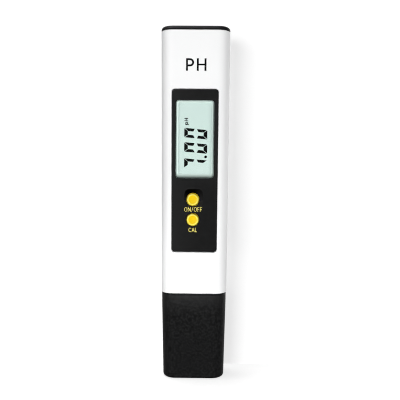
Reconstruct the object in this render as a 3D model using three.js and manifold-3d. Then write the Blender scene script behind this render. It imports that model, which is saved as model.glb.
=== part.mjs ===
// Pen-style pH meter, modelled upright.
//
// Frame: millimetres, +Z up along the pen, front face (display and buttons)
// towards -Y, +X to the right when facing the display. The origin is the
// centre of the underside of the protective cap, which is what it stands on.
//
// From the top down: battery cap, four button cells lying side by side in a
// holder, the circuit board with the display and two push buttons, and the
// electrode under a pull-off protective cap.

import * as THREE from 'three';
import { mergeVertices } from 'three/addons/utils/BufferGeometryUtils.js';
import Module from 'manifold-3d';

const wasm = await Module();
wasm.setup();

// ---------------------------------------------------------------- dimensions

const TOTAL_HEIGHT = 155.5;
const HALF_DEPTH = 8.25;          // front face at y = -8.25, back at y = +8.25
const PLAN_RADIUS = 5.5;          // vertical corner radius of the body

// one-piece tapered housing
const HOUSING_BOTTOM = 38.55;
const HOUSING_TOP = 153.5;
const HOUSING_HALF_WIDTH_BOTTOM = 14.57;
const HOUSING_HALF_WIDTH_TOP = 15.185;
const HOUSING_WALL = 1.7;
const INNER_HALF_DEPTH = HALF_DEPTH - HOUSING_WALL;

// battery cap
const CAP_PLATE_BOTTOM = 153.8;
const CAP_EDGE_RADIUS = 0.85;
const CAP_SKIRT_BOTTOM = 149.9;
const CAP_SKIRT_HALF_WIDTH = 13.1;
const CAP_SKIRT_HALF_DEPTH = 6.25;
const CAP_SKIRT_WALL = 1.1;
const CAP_SEAL_Z = [151.0, 152.2];

// front panel, its pocket and its window
const PANEL_BOTTOM = 57.1;
const PANEL_TOP = 128.2;
const PANEL_HALF_WIDTH_BOTTOM = 9.85;
const PANEL_HALF_WIDTH_TOP = 10.1;
const PANEL_RADIUS = 1.3;
const PANEL_THICKNESS = 1.0;
const PANEL_GAP = 0.15;
const WINDOW_BOTTOM = 89.5;
const WINDOW_TOP = 123.35;
const WINDOW_HALF_WIDTH = 8.3;
const WINDOW_RADIUS = 1.1;

// push buttons
const BUTTON_X = -0.7;
const POWER_BUTTON_Z = 80.15;
const CAL_BUTTON_Z = 71.3;
const BUTTON_RADIUS = 2.75;
const BUTTON_PROUD = 0.55;        // how far the crown stands out of the panel
const BUTTON_FLANGE_RADIUS = 3.3;
const BUTTON_TRAVEL = 0.5;

// shallow finger scoop round the power button
const SCOOP_Z = 80.5;
const SCOOP_HALF_WIDTH = 5.2;
const SCOOP_HALF_HEIGHT = 4.6;
const SCOOP_DEPTH = 0.45;

// display stack, measured from the front
const GLASS_HALF_WIDTH = 10.1;
const GLASS_BOTTOM = 87.3;
const GLASS_TOP = 125.5;
const GLASS_FRONT = -6.4;
const GLASS_MIDDLE = -5.35;
const GLASS_BACK = -4.25;

// circuit board
const BOARD_FRONT = -2.0;
const BOARD_BACK = -0.8;
const BOARD_HALF_WIDTH = 11.6;
const BOARD_BOTTOM = 52.6;
const BOARD_TOP = 130.3;
const SCREWS = [[-9.6, 55.6], [9.6, 55.6], [-9.0, 128.5], [9.0, 128.5]];

// battery holder and cells
const CELL_RADIUS = 5.8;
const CELL_HEIGHT = 5.4;
const CELL_Z = 145.2;
const HOLDER_BOTTOM = 131.2;

// protective cap
const PCAP_TOP = 38.25;
const PCAP_HALF_WIDTH_TOP = 14.43;
const PCAP_HALF_WIDTH_BOTTOM = 13.6;
const PCAP_HALF_DEPTH_TOP = 8.15;
const PCAP_HALF_DEPTH_BOTTOM = 7.7;
const PCAP_WALL = 1.6;
const PCAP_EDGE_RADIUS = 1.3;
const PCAP_FLOOR = 1.9;

// electrode
const COLLAR_BOTTOM = 30.0;
const COLLAR_TOP = 52.2;
const SLEEVE_RADIUS = 5.5;
const SLEEVE_WALL = 1.1;
const SLEEVE_BOTTOM = 8.0;
const SLEEVE_TOP = 36.0;
const STEM_RADIUS = 3.0;
const STEM_WALL = 0.6;
const STEM_TOP = 50.0;
const BULB_RADIUS = 3.9;
const BULB_Z = 14.2;

// ------------------------------------------------------------------ helpers

function solid(geometry) {
  const g = geometry.clone();
  g.deleteAttribute('normal');
  g.deleteAttribute('uv');
  const m = mergeVertices(g, 1e-4);
  return new wasm.Manifold(new wasm.Mesh({
    numProp: 3,
    vertProperties: new Float32Array(m.attributes.position.array),
    triVerts: new Uint32Array(m.index.array),
  }));
}

function geometryOf(manifold) {
  const mesh = manifold.getMesh();
  const n = mesh.numProp;
  const count = mesh.vertProperties.length / n;
  const position = new Float32Array(count * 3);
  for (let i = 0; i < count; i += 1) {
    position[3 * i] = mesh.vertProperties[n * i];
    position[3 * i + 1] = mesh.vertProperties[n * i + 1];
    position[3 * i + 2] = mesh.vertProperties[n * i + 2];
  }
  const g = new THREE.BufferGeometry();
  g.setAttribute('position', new THREE.BufferAttribute(position, 3));
  g.setIndex(Array.from(mesh.triVerts));
  g.computeVertexNormals();
  return g;
}

// Rounded square of half size 10 and corner radius 5, the parent of every
// rounded column: each of its vertices lies on one of the four corner arcs.
function parentOutline() {
  const s = new THREE.Shape();
  s.absarc(5, 5, 5, 0, Math.PI / 2);
  s.absarc(-5, 5, 5, Math.PI / 2, Math.PI);
  s.absarc(-5, -5, 5, Math.PI, 1.5 * Math.PI);
  s.absarc(5, -5, 5, 1.5 * Math.PI, 2 * Math.PI);
  return s;
}

// A vertical column of rounded-rectangle sections. Each level is
// { z, hw, hd, inset }, with the half width, half depth and how far the
// outline is drawn in there, for a filleted rim.
function column(levels, radius, segments = 3) {
  const g = new THREE.ExtrudeGeometry(parentOutline(), {
    depth: levels.length - 1,
    steps: levels.length - 1,
    curveSegments: segments,
    bevelEnabled: false,
  });
  const p = g.attributes.position;
  for (let i = 0; i < p.count; i += 1) {
    const l = levels[Math.round(p.getZ(i))];
    const sx = Math.sign(p.getX(i));
    const sy = Math.sign(p.getY(i));
    const nx = (p.getX(i) - sx * 5) / 5;
    const ny = (p.getY(i) - sy * 5) / 5;
    const r = radius - (l.inset ?? 0);
    p.setXYZ(i, sx * (l.hw - radius) + r * nx, sy * (l.hd - radius) + r * ny, l.z);
  }
  return g;
}

function box(x0, x1, y0, y1, z0, z1) {
  return new THREE.BoxGeometry(x1 - x0, y1 - y0, z1 - z0)
    .translate((x0 + x1) / 2, (y0 + y1) / 2, (z0 + z1) / 2);
}

function rodX(r, x0, x1, y, z, seg = 16) {
  return new THREE.CylinderGeometry(r, r, x1 - x0, seg)
    .rotateZ(Math.PI / 2).translate((x0 + x1) / 2, y, z);
}

function rodY(r, y0, y1, x, z, seg = 16) {
  return new THREE.CylinderGeometry(r, r, y1 - y0, seg).translate(x, (y0 + y1) / 2, z);
}

function rodZ(r, z0, z1, x, y, seg = 16) {
  return new THREE.CylinderGeometry(r, r, z1 - z0, seg)
    .rotateX(Math.PI / 2).translate(x, y, (z0 + z1) / 2);
}

// Solid of revolution about a vertical axis; points are [radius, z].
function turned(points, seg = 20) {
  return new THREE.LatheGeometry(points.map(([r, z]) => new THREE.Vector2(r, z)), seg)
    .rotateX(Math.PI / 2);
}

// Solid of revolution about an axis along Y; points are [radius, y].
function turnedY(points, x, z, seg = 20) {
  return new THREE.LatheGeometry(points.map(([r, y]) => new THREE.Vector2(r, y)), seg)
    .translate(x, 0, z);
}

// Plate with a rounded trapezoid outline in the XZ plane, from y0 to y1.
function plate(zb, zt, hwb, hwt, r, y0, y1, segments = 2) {
  const s = new THREE.Shape();
  s.absarc(hwb - r, zb + r, r, -Math.PI / 2, 0);
  s.absarc(hwt - r, zt - r, r, 0, Math.PI / 2);
  s.absarc(-hwt + r, zt - r, r, Math.PI / 2, Math.PI);
  s.absarc(-hwb + r, zb + r, r, Math.PI, 1.5 * Math.PI);
  return new THREE.ExtrudeGeometry(s, { depth: y1 - y0, bevelEnabled: false, curveSegments: segments })
    .rotateX(Math.PI / 2).translate(0, y1, 0);
}

function lerp(a, b, t) {
  return a + (b - a) * t;
}

function housingHalfWidth(z) {
  return lerp(HOUSING_HALF_WIDTH_BOTTOM, HOUSING_HALF_WIDTH_TOP,
    (z - HOUSING_BOTTOM) / (HOUSING_TOP - HOUSING_BOTTOM));
}

function pcapHalfWidth(z) {
  return lerp(PCAP_HALF_WIDTH_BOTTOM, PCAP_HALF_WIDTH_TOP, z / PCAP_TOP);
}

function pcapHalfDepth(z) {
  return lerp(PCAP_HALF_DEPTH_BOTTOM, PCAP_HALF_DEPTH_TOP, z / PCAP_TOP);
}

const MATERIALS = {
  white: { color: 0xf3f4f3, roughness: 0.42, metalness: 0 },
  black: { color: 0x1d1e20, roughness: 0.5, metalness: 0 },
  panel: { color: 0x242527, roughness: 0.35, metalness: 0 },
  yellow: { color: 0xf6d81c, roughness: 0.45, metalness: 0 },
  glass: { color: 0xd9ece6, roughness: 0.08, metalness: 0 },
  display: { color: 0xcfe6de, roughness: 0.3, metalness: 0 },
  board: { color: 0x1f6b3a, roughness: 0.5, metalness: 0 },
  chip: { color: 0x222325, roughness: 0.6, metalness: 0 },
  steel: { color: 0xb9bcc0, roughness: 0.3, metalness: 1 },
  rubber: { color: 0x2b2b2d, roughness: 0.85, metalness: 0 },
  frame: { color: 0x8f9294, roughness: 0.6, metalness: 0 },
  foam: { color: 0xe8e2cf, roughness: 0.95, metalness: 0 },
  ceramic: { color: 0xf0efe9, roughness: 0.7, metalness: 0 },
  silver: { color: 0xc9c7c0, roughness: 0.35, metalness: 1 },
  wire: { color: 0xb02a24, roughness: 0.6, metalness: 0 },
};

const group = new THREE.Group();
group.name = 'ph_meter';

function add(name, geometry, material) {
  const mesh = new THREE.Mesh(geometry, new THREE.MeshStandardMaterial(MATERIALS[material]));
  mesh.name = name;
  group.add(mesh);
  return mesh;
}

// Space inside the housing, drawn in by a clearance all round.
function housingBore(z0, z1, clearance) {
  return solid(column([z0, z1].map((z) => ({
    z, hw: housingHalfWidth(z) - HOUSING_WALL - clearance, hd: INNER_HALF_DEPTH - clearance,
  })), PLAN_RADIUS - HOUSING_WALL - clearance));
}

// ------------------------------------------------------------------ housing

{
  const outer = column([
    { z: HOUSING_BOTTOM, hw: housingHalfWidth(HOUSING_BOTTOM), hd: HALF_DEPTH, inset: 0.25 },
    { z: HOUSING_BOTTOM + 0.25, hw: housingHalfWidth(HOUSING_BOTTOM + 0.25), hd: HALF_DEPTH },
    { z: HOUSING_TOP - 0.2, hw: housingHalfWidth(HOUSING_TOP - 0.2), hd: HALF_DEPTH },
    { z: HOUSING_TOP, hw: housingHalfWidth(HOUSING_TOP), hd: HALF_DEPTH, inset: 0.2 },
  ], PLAN_RADIUS, 5);
  const inner = column([
    { z: HOUSING_BOTTOM - 1, hw: housingHalfWidth(HOUSING_BOTTOM - 1) - HOUSING_WALL, hd: INNER_HALF_DEPTH },
    { z: HOUSING_TOP + 1, hw: housingHalfWidth(HOUSING_TOP + 1) - HOUSING_WALL, hd: INNER_HALF_DEPTH },
  ], PLAN_RADIUS - HOUSING_WALL);
  const pocket = plate(PANEL_BOTTOM - PANEL_GAP, PANEL_TOP + PANEL_GAP,
    PANEL_HALF_WIDTH_BOTTOM + PANEL_GAP, PANEL_HALF_WIDTH_TOP + PANEL_GAP, PANEL_RADIUS + PANEL_GAP,
    -HALF_DEPTH - 1, -HALF_DEPTH + PANEL_THICKNESS + 0.02);
  const windowCut = plate(WINDOW_BOTTOM - 1, WINDOW_TOP + 1, WINDOW_HALF_WIDTH + 0.5,
    WINDOW_HALF_WIDTH + 0.5, 1.5, -HALF_DEPTH, -INNER_HALF_DEPTH + 0.5);
  let h = solid(outer).subtract(solid(inner)).subtract(solid(pocket)).subtract(solid(windowCut));
  for (const z of [POWER_BUTTON_Z, CAL_BUTTON_Z]) {
    h = h.subtract(solid(rodY(BUTTON_FLANGE_RADIUS + 0.35, -HALF_DEPTH, -INNER_HALF_DEPTH + 0.5, BUTTON_X, z)));
  }
  // moulding ledge inside, that the battery holder is pushed up against
  const ledge = solid(column([
    { z: HOLDER_BOTTOM - 1.0, hw: housingHalfWidth(HOLDER_BOTTOM) - HOUSING_WALL + 0.3, hd: INNER_HALF_DEPTH + 0.3 },
    { z: HOLDER_BOTTOM - 0.2, hw: housingHalfWidth(HOLDER_BOTTOM) - HOUSING_WALL + 0.3, hd: INNER_HALF_DEPTH + 0.3 },
  ], 4)).subtract(solid(box(-12.7, 12.7, -7, 7, HOLDER_BOTTOM - 2, HOLDER_BOTTOM + 1)));
  h = h.add(ledge);
  add('housing', geometryOf(h), 'white');
}

// -------------------------------------------------- front panel and window

{
  let p = solid(plate(PANEL_BOTTOM, PANEL_TOP, PANEL_HALF_WIDTH_BOTTOM, PANEL_HALF_WIDTH_TOP,
    PANEL_RADIUS, -HALF_DEPTH, -HALF_DEPTH + PANEL_THICKNESS));
  p = p.subtract(solid(plate(WINDOW_BOTTOM, WINDOW_TOP, WINDOW_HALF_WIDTH, WINDOW_HALF_WIDTH,
    WINDOW_RADIUS, -HALF_DEPTH - 1, -HALF_DEPTH + PANEL_THICKNESS + 1)));
  for (const z of [POWER_BUTTON_Z, CAL_BUTTON_Z]) {
    p = p.subtract(solid(rodY(BUTTON_RADIUS + 0.15, -HALF_DEPTH - 1, -HALF_DEPTH + PANEL_THICKNESS + 1, BUTTON_X, z, 28)));
  }
  // shallow finger scoop, an elliptical dish
  const dish = [[0, -HALF_DEPTH - 1], [1, -HALF_DEPTH - 1]];
  for (const r of [1, 0.82, 0.6, 0.3, 0]) dish.push([r, -HALF_DEPTH + SCOOP_DEPTH * (1 - r * r)]);
  const scoop = turnedY(dish, 0, 0, 32).scale(SCOOP_HALF_WIDTH, 1, SCOOP_HALF_HEIGHT)
    .translate(BUTTON_X, 0, SCOOP_Z);
  p = p.subtract(solid(scoop));
  add('front_panel', geometryOf(p), 'panel');
}

add('display_lens', plate(WINDOW_BOTTOM + 0.1, WINDOW_TOP - 0.1, WINDOW_HALF_WIDTH - 0.1,
  WINDOW_HALF_WIDTH - 0.1, WINDOW_RADIUS - 0.1, -HALF_DEPTH + 0.25, -HALF_DEPTH + PANEL_THICKNESS), 'glass');

// ------------------------------------------------------------ display stack

add('lcd_front_glass', box(-GLASS_HALF_WIDTH, GLASS_HALF_WIDTH, GLASS_FRONT, GLASS_MIDDLE - 0.02,
  GLASS_BOTTOM, GLASS_TOP), 'display');
add('lcd_rear_glass', box(-GLASS_HALF_WIDTH + 0.9, GLASS_HALF_WIDTH - 0.9, GLASS_MIDDLE, GLASS_BACK,
  GLASS_BOTTOM, GLASS_TOP), 'glass');
add('lcd_reflector', box(-8.0, 8.0, GLASS_BACK + 0.02, GLASS_BACK + 0.22, GLASS_BOTTOM + 0.6, GLASS_TOP - 0.6), 'silver');
add('zebra_strip_left', box(-10.0, -9.35, GLASS_MIDDLE, BOARD_FRONT - 0.03, GLASS_BOTTOM + 1, GLASS_TOP - 1), 'rubber');
add('zebra_strip_right', box(9.35, 10.0, GLASS_MIDDLE, BOARD_FRONT - 0.03, GLASS_BOTTOM + 1, GLASS_TOP - 1), 'rubber');

{
  // frame that presses the glass and the contact strips onto the board
  const f = solid(box(-11.4, 11.4, GLASS_FRONT, BOARD_FRONT - 0.05, 86.1, 126.7))
    .subtract(solid(box(-10.25, 10.25, GLASS_FRONT - 1, BOARD_FRONT + 1, GLASS_BOTTOM - 0.15, GLASS_TOP + 0.15)))
    .intersect(housingBore(80, 132, 0.3));
  add('lcd_frame', geometryOf(f), 'chip');
}

// -------------------------------------------------------------- main board

{
  let b = solid(box(-BOARD_HALF_WIDTH, BOARD_HALF_WIDTH, BOARD_FRONT, BOARD_BACK, BOARD_BOTTOM, BOARD_TOP));
  for (const [x, z] of SCREWS) b = b.subtract(solid(rodY(1.0, BOARD_FRONT - 1, BOARD_BACK + 1, x, z, 12)));
  // two edge notches that locate the board in the frame
  for (const s of [-1, 1]) {
    b = b.subtract(solid(box(s * BOARD_HALF_WIDTH - 0.7, s * BOARD_HALF_WIDTH + 0.7, BOARD_FRONT - 1, BOARD_BACK + 1, 83.0, 85.0)));
  }
  add('main_board', geometryOf(b), 'board');
}

// chips stand on the back of the board, inside the openings of the frame
function gullwingChip(x, z, w, h, t, pins, pitch) {
  const y0 = BOARD_BACK + 0.02;
  let c = solid(box(x - w / 2, x + w / 2, y0 + 0.12, y0 + t, z - h / 2, z + h / 2));
  for (let i = 0; i < pins; i += 1) {
    const pz = z + (i - (pins - 1) / 2) * pitch;
    c = c.add(solid(box(x - w / 2 - 0.9, x + w / 2 + 0.9, y0, y0 + 0.25, pz - 0.2, pz + 0.2)));
  }
  return geometryOf(c);
}
add('controller_chip', gullwingChip(0, 103, 8.5, 13, 1.8, 8, 1.27), 'chip');
add('amplifier_chip', gullwingChip(0, 69.5, 4.0, 5.0, 1.5, 4, 1.27), 'chip');
add('timing_crystal', solidToGeometry(rodZ(1.4, 90.0, 96.0, -6.6, BOARD_BACK + 1.5, 20)), 'steel');
add('filter_capacitor', turnedY([
  [0, BOARD_BACK + 0.05], [2.0, BOARD_BACK + 0.05], [2.0, BOARD_BACK + 3.3], [1.75, BOARD_BACK + 3.5], [0, BOARD_BACK + 3.5],
], 6.4, 77.0, 18), 'steel');

function solidToGeometry(g) {
  return geometryOf(solid(g));
}

// ------------------------------------------------- push buttons and switches

function buttonGeometry(z) {
  const f = -HALF_DEPTH - BUTTON_PROUD;
  return turnedY([
    [0, f + 0.25], [1.5, f + 0.1], [2.1, f], [2.6, f + 0.18], [BUTTON_RADIUS, f + 0.5],
    [BUTTON_RADIUS, -HALF_DEPTH + PANEL_THICKNESS + 0.05],
    [BUTTON_FLANGE_RADIUS, -HALF_DEPTH + PANEL_THICKNESS + 0.05],
    [BUTTON_FLANGE_RADIUS, -HALF_DEPTH + PANEL_THICKNESS + 0.6],
    [1.3, -HALF_DEPTH + PANEL_THICKNESS + 0.6],
    [1.3, -4.5], [0, -4.5],
  ], BUTTON_X, z, 24);
}

function switchBase(z) {
  return geometryOf(solid(box(BUTTON_X - 2.6, BUTTON_X + 2.6, -3.6, BOARD_FRONT - 0.03, z - 2.6, z + 2.6))
    .subtract(solid(rodY(1.15, -4.2, -2.35, BUTTON_X, z, 14))));
}

function switchPlunger(z) {
  return turnedY([[0, -4.4], [0.75, -4.4], [0.95, -4.2], [0.95, -3.0], [0, -3.0]], BUTTON_X, z, 14);
}

add('power_button', solidToGeometry(buttonGeometry(POWER_BUTTON_Z)), 'yellow');
add('calibration_button', solidToGeometry(buttonGeometry(CAL_BUTTON_Z)), 'yellow');
add('power_switch_base', switchBase(POWER_BUTTON_Z), 'chip');
add('calibration_switch_base', switchBase(CAL_BUTTON_Z), 'chip');
add('power_switch_plunger', solidToGeometry(switchPlunger(POWER_BUTTON_Z)), 'steel');
add('calibration_switch_plunger', solidToGeometry(switchPlunger(CAL_BUTTON_Z)), 'steel');

// ---------------------------------------------------- inner frame and screws

{
  const y0 = BOARD_BACK + 0.05;
  const y1 = 2.4;
  let f = solid(box(-12.3, 12.3, y0, y1, 54.4, 130.0))
    .subtract(solid(box(-10.4, 10.4, y0 - 1, y1 + 1, 58.2, 82.0)))
    .subtract(solid(box(-10.4, 10.4, y0 - 1, y1 + 1, 86.0, 125.6)))
    // recess for the leads that cross the lower bar
    .subtract(solid(box(-5.5, 5.5, y0 + 1.2, y1 + 1, 54.0, 59.0)));
  for (const s of [-1, 1]) {
    f = f.add(solid(box(s * 12.05 - 0.25, s * 12.05 + 0.25, BOARD_FRONT, y0 + 0.3, 83.2, 84.8)));
  }
  for (const [x, z] of SCREWS) f = f.subtract(solid(rodY(0.85, y0 - 1, 2.0, x, z, 12)));
  add('inner_frame', geometryOf(f), 'frame');
}

SCREWS.forEach(([x, z], i) => {
  const body = solid(turnedY([
    [0, BOARD_FRONT - 0.95], [1.1, BOARD_FRONT - 0.85], [1.45, BOARD_FRONT - 0.5], [1.45, BOARD_FRONT - 0.02],
    [0.7, BOARD_FRONT - 0.02], [0.7, 1.6], [0, 1.9],
  ], x, z, 14))
    .subtract(solid(box(x - 0.75, x + 0.75, BOARD_FRONT - 1.5, BOARD_FRONT - 0.5, z - 0.14, z + 0.14)))
    .subtract(solid(box(x - 0.14, x + 0.14, BOARD_FRONT - 1.5, BOARD_FRONT - 0.5, z - 0.75, z + 0.75)));
  add(`board_screw_${i + 1}`, geometryOf(body), 'steel');
});

// ------------------------------------------------------------ battery holder

{
  const hw = 13.0;
  const hd = 6.3;
  let h = solid(column([{ z: HOLDER_BOTTOM, hw, hd }, { z: 149.3, hw, hd }], 3.6));
  // open top between the two end walls, down to the shoulders of the cradle
  h = h.subtract(solid(box(-11.95, 11.95, -8, 8, 142.6, 151)));
  // cradle that the cells lie in
  h = h.subtract(solid(rodX(CELL_RADIUS + 0.15, -11.95, 11.95, 0, CELL_Z, 36)));
  // slots for the legs of the two contacts
  for (const s of [-1, 1]) {
    h = h.subtract(solid(box(s * 11.7 - 0.25, s * 11.7 + 0.25, -1.7, 1.7, HOLDER_BOTTOM - 1, 151)));
  }
  // lightening pocket underneath
  h = h.subtract(solid(box(-10.2, 10.2, -4.2, 4.2, HOLDER_BOTTOM - 1, 136.6)));
  add('battery_holder', geometryOf(h), 'black');
}

function contact(side, dimple) {
  const x = side * 11.7;
  const t = 0.12;
  // the blade stands behind the end cell; its leg runs down to the board
  let c = solid(box(x - t, x + t, -1.5, 1.5, 130.6, 149.0));
  c = c.add(solid(box(x - t, x + t, -3.6, 3.6, 142.9, 148.4)));
  const bump = new THREE.SphereGeometry(2.4, 12, 8).scale(dimple, 1, 1).translate(x, 0, CELL_Z + 0.2);
  const keep = side > 0 ? box(x - 2, x + t * 0.5, -4, 4, 139, 149) : box(x - t * 0.5, x + 2, -4, 4, 139, 149);
  c = c.add(solid(bump).intersect(solid(keep)));
  // foot that is soldered to the back of the board
  c = c.add(solid(box(Math.min(x - t, x - side * 1.2), Math.max(x + t, x - side * 1.2), -1.5, 1.5, 130.6, 130.85)));
  return geometryOf(c);
}
add('battery_contact_positive', contact(1, 0.26), 'steel');
add('battery_contact_negative', contact(-1, 0.26), 'steel');

for (let i = 0; i < 4; i += 1) {
  const x0 = -2 * CELL_HEIGHT + i * CELL_HEIGHT + 0.06;
  const x1 = x0 + CELL_HEIGHT - 0.12;
  // positive can on the +X side, smaller negative lid on the -X side
  const g = new THREE.LatheGeometry([
    [0, x0], [4.7, x0], [5.0, x0 + 0.3], [5.0, x0 + 0.8], [5.5, x0 + 0.85],
    [CELL_RADIUS, x0 + 1.15], [CELL_RADIUS, x1 - 0.35], [CELL_RADIUS - 0.35, x1], [0, x1],
  ].map(([r, y]) => new THREE.Vector2(r, y)), 24).rotateZ(-Math.PI / 2).translate(0, 0, CELL_Z);
  add(`button_cell_${i + 1}`, solidToGeometry(g), 'steel');
}

// --------------------------------------------------------------- battery cap

{
  const fillet = [];
  for (let k = 0; k <= 3; k += 1) {
    const a = (k / 3) * (Math.PI / 2);
    fillet.push({
      z: TOTAL_HEIGHT - CAP_EDGE_RADIUS + CAP_EDGE_RADIUS * Math.sin(a),
      hw: housingHalfWidth(HOUSING_TOP), hd: HALF_DEPTH,
      inset: CAP_EDGE_RADIUS * (1 - Math.cos(a)),
    });
  }
  let c = solid(column([
    { z: CAP_PLATE_BOTTOM, hw: housingHalfWidth(HOUSING_TOP), hd: HALF_DEPTH, inset: 0.15 },
    { z: CAP_PLATE_BOTTOM + 0.15, hw: housingHalfWidth(HOUSING_TOP), hd: HALF_DEPTH },
    ...fillet,
  ], PLAN_RADIUS, 5));
  const skirt = solid(column([
    { z: CAP_SKIRT_BOTTOM, hw: CAP_SKIRT_HALF_WIDTH, hd: CAP_SKIRT_HALF_DEPTH, inset: 0.3 },
    { z: CAP_SKIRT_BOTTOM + 0.4, hw: CAP_SKIRT_HALF_WIDTH, hd: CAP_SKIRT_HALF_DEPTH },
    { z: CAP_PLATE_BOTTOM + 0.3, hw: CAP_SKIRT_HALF_WIDTH, hd: CAP_SKIRT_HALF_DEPTH },
  ], 3.6)).subtract(solid(column([
    { z: CAP_SKIRT_BOTTOM - 1, hw: CAP_SKIRT_HALF_WIDTH - CAP_SKIRT_WALL, hd: CAP_SKIRT_HALF_DEPTH - CAP_SKIRT_WALL },
    { z: CAP_PLATE_BOTTOM, hw: CAP_SKIRT_HALF_WIDTH - CAP_SKIRT_WALL, hd: CAP_SKIRT_HALF_DEPTH - CAP_SKIRT_WALL },
  ], 2.5)));
  c = c.add(skirt);
  // groove for the seal
  const groove = solid(column([
    { z: CAP_SEAL_Z[0] - 0.05, hw: 16, hd: 8 }, { z: CAP_SEAL_Z[1] + 0.05, hw: 16, hd: 8 },
  ], 4)).subtract(solid(column([
    { z: CAP_SEAL_Z[0] - 1, hw: CAP_SKIRT_HALF_WIDTH - 0.55, hd: CAP_SKIRT_HALF_DEPTH - 0.55 },
    { z: CAP_SEAL_Z[1] + 1, hw: CAP_SKIRT_HALF_WIDTH - 0.55, hd: CAP_SKIRT_HALF_DEPTH - 0.55 },
  ], 3.05)));
  c = c.subtract(groove);
  add('battery_cap', geometryOf(c), 'black');

  const mid = (CAP_SEAL_Z[0] + CAP_SEAL_Z[1]) / 2;
  const seal = solid(column([
    { z: CAP_SEAL_Z[0], hw: CAP_SKIRT_HALF_WIDTH + 0.2, hd: CAP_SKIRT_HALF_DEPTH + 0.2, inset: 0.3 },
    { z: mid, hw: CAP_SKIRT_HALF_WIDTH + 0.2, hd: CAP_SKIRT_HALF_DEPTH + 0.2 },
    { z: CAP_SEAL_Z[1], hw: CAP_SKIRT_HALF_WIDTH + 0.2, hd: CAP_SKIRT_HALF_DEPTH + 0.2, inset: 0.3 },
  ], 3.8)).subtract(solid(column([
    { z: CAP_SEAL_Z[0] - 1, hw: CAP_SKIRT_HALF_WIDTH - 0.5, hd: CAP_SKIRT_HALF_DEPTH - 0.5 },
    { z: CAP_SEAL_Z[1] + 1, hw: CAP_SKIRT_HALF_WIDTH - 0.5, hd: CAP_SKIRT_HALF_DEPTH - 0.5 },
  ], 3.1)));
  add('battery_cap_seal', geometryOf(seal), 'rubber');
}

// ----------------------------------------------------------------- electrode

{
  // plug that closes the housing, with a neck below for the protective cap
  const neckTop = HOUSING_BOTTOM;
  let c = solid(column([
    { z: COLLAR_BOTTOM, hw: pcapHalfWidth(COLLAR_BOTTOM) - PCAP_WALL - 0.3, hd: pcapHalfDepth(COLLAR_BOTTOM) - PCAP_WALL - 0.3, inset: 0.5 },
    { z: COLLAR_BOTTOM + 0.5, hw: pcapHalfWidth(COLLAR_BOTTOM) - PCAP_WALL - 0.3, hd: pcapHalfDepth(COLLAR_BOTTOM) - PCAP_WALL - 0.3 },
    { z: neckTop, hw: pcapHalfWidth(PCAP_TOP) - PCAP_WALL - 0.3, hd: pcapHalfDepth(PCAP_TOP) - PCAP_WALL - 0.3 },
    { z: neckTop + 0.2, hw: housingHalfWidth(neckTop) - HOUSING_WALL - 0.15, hd: INNER_HALF_DEPTH - 0.15 },
    { z: COLLAR_TOP, hw: housingHalfWidth(COLLAR_TOP) - HOUSING_WALL - 0.15, hd: INNER_HALF_DEPTH - 0.15 },
  ], 3.6));
  // socket for the sleeve, bore for the glass stem, bore for the probe
  c = c.subtract(solid(rodZ(SLEEVE_RADIUS + 0.15, COLLAR_BOTTOM - 1, SLEEVE_TOP + 0.1, 0, 0, 28)));
  c = c.subtract(solid(rodZ(STEM_RADIUS + 0.15, COLLAR_BOTTOM - 1, COLLAR_TOP + 1, 0, 0, 20)));
  c = c.subtract(solid(rodZ(1.35, COLLAR_BOTTOM - 1, COLLAR_TOP + 1, 8.6, 0, 12)));
  // seal groove round the neck
  const groove = solid(column([{ z: 33.2, hw: 16, hd: 8 }, { z: 34.8, hw: 16, hd: 8 }], 4))
    .subtract(solid(column([{ z: 30, hw: 11.55, hd: 5.45 }, { z: 38, hw: 11.55, hd: 5.45 }], 3)));
  c = c.subtract(groove);
  add('electrode_collar', geometryOf(c), 'black');

  const seal = solid(column([
    { z: 33.3, hw: 12.35, hd: 6.2, inset: 0.35 }, { z: 34.0, hw: 12.35, hd: 6.2 }, { z: 34.7, hw: 12.35, hd: 6.2, inset: 0.35 },
  ], 3.7)).subtract(solid(column([{ z: 32, hw: 11.6, hd: 5.5 }, { z: 36, hw: 11.6, hd: 5.5 }], 3.05)));
  add('collar_seal', geometryOf(seal), 'rubber');
}

{
  // guard sleeve: open at the bottom, with four slots round the bulb
  const ri = SLEEVE_RADIUS - SLEEVE_WALL;
  let s = solid(turned([
    [ri, SLEEVE_BOTTOM + 0.3], [ri + 0.3, SLEEVE_BOTTOM], [SLEEVE_RADIUS - 0.35, SLEEVE_BOTTOM], [SLEEVE_RADIUS, SLEEVE_BOTTOM + 0.35],
    [SLEEVE_RADIUS, SLEEVE_TOP], [ri, SLEEVE_TOP], [ri, SLEEVE_BOTTOM + 0.3],
  ], 28));
  for (let k = 0; k < 2; k += 1) {
    const slot = box(-8, 8, -1.5, 1.5, SLEEVE_BOTTOM - 1, 17.5).rotateZ(Math.PI / 4 + (k * Math.PI) / 2);
    const end = rodX(1.5, -8, 8, 0, 17.5, 12).rotateZ(Math.PI / 4 + (k * Math.PI) / 2);
    s = s.subtract(solid(slot)).subtract(solid(end));
  }
  add('electrode_sleeve', geometryOf(s), 'black');
}

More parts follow.
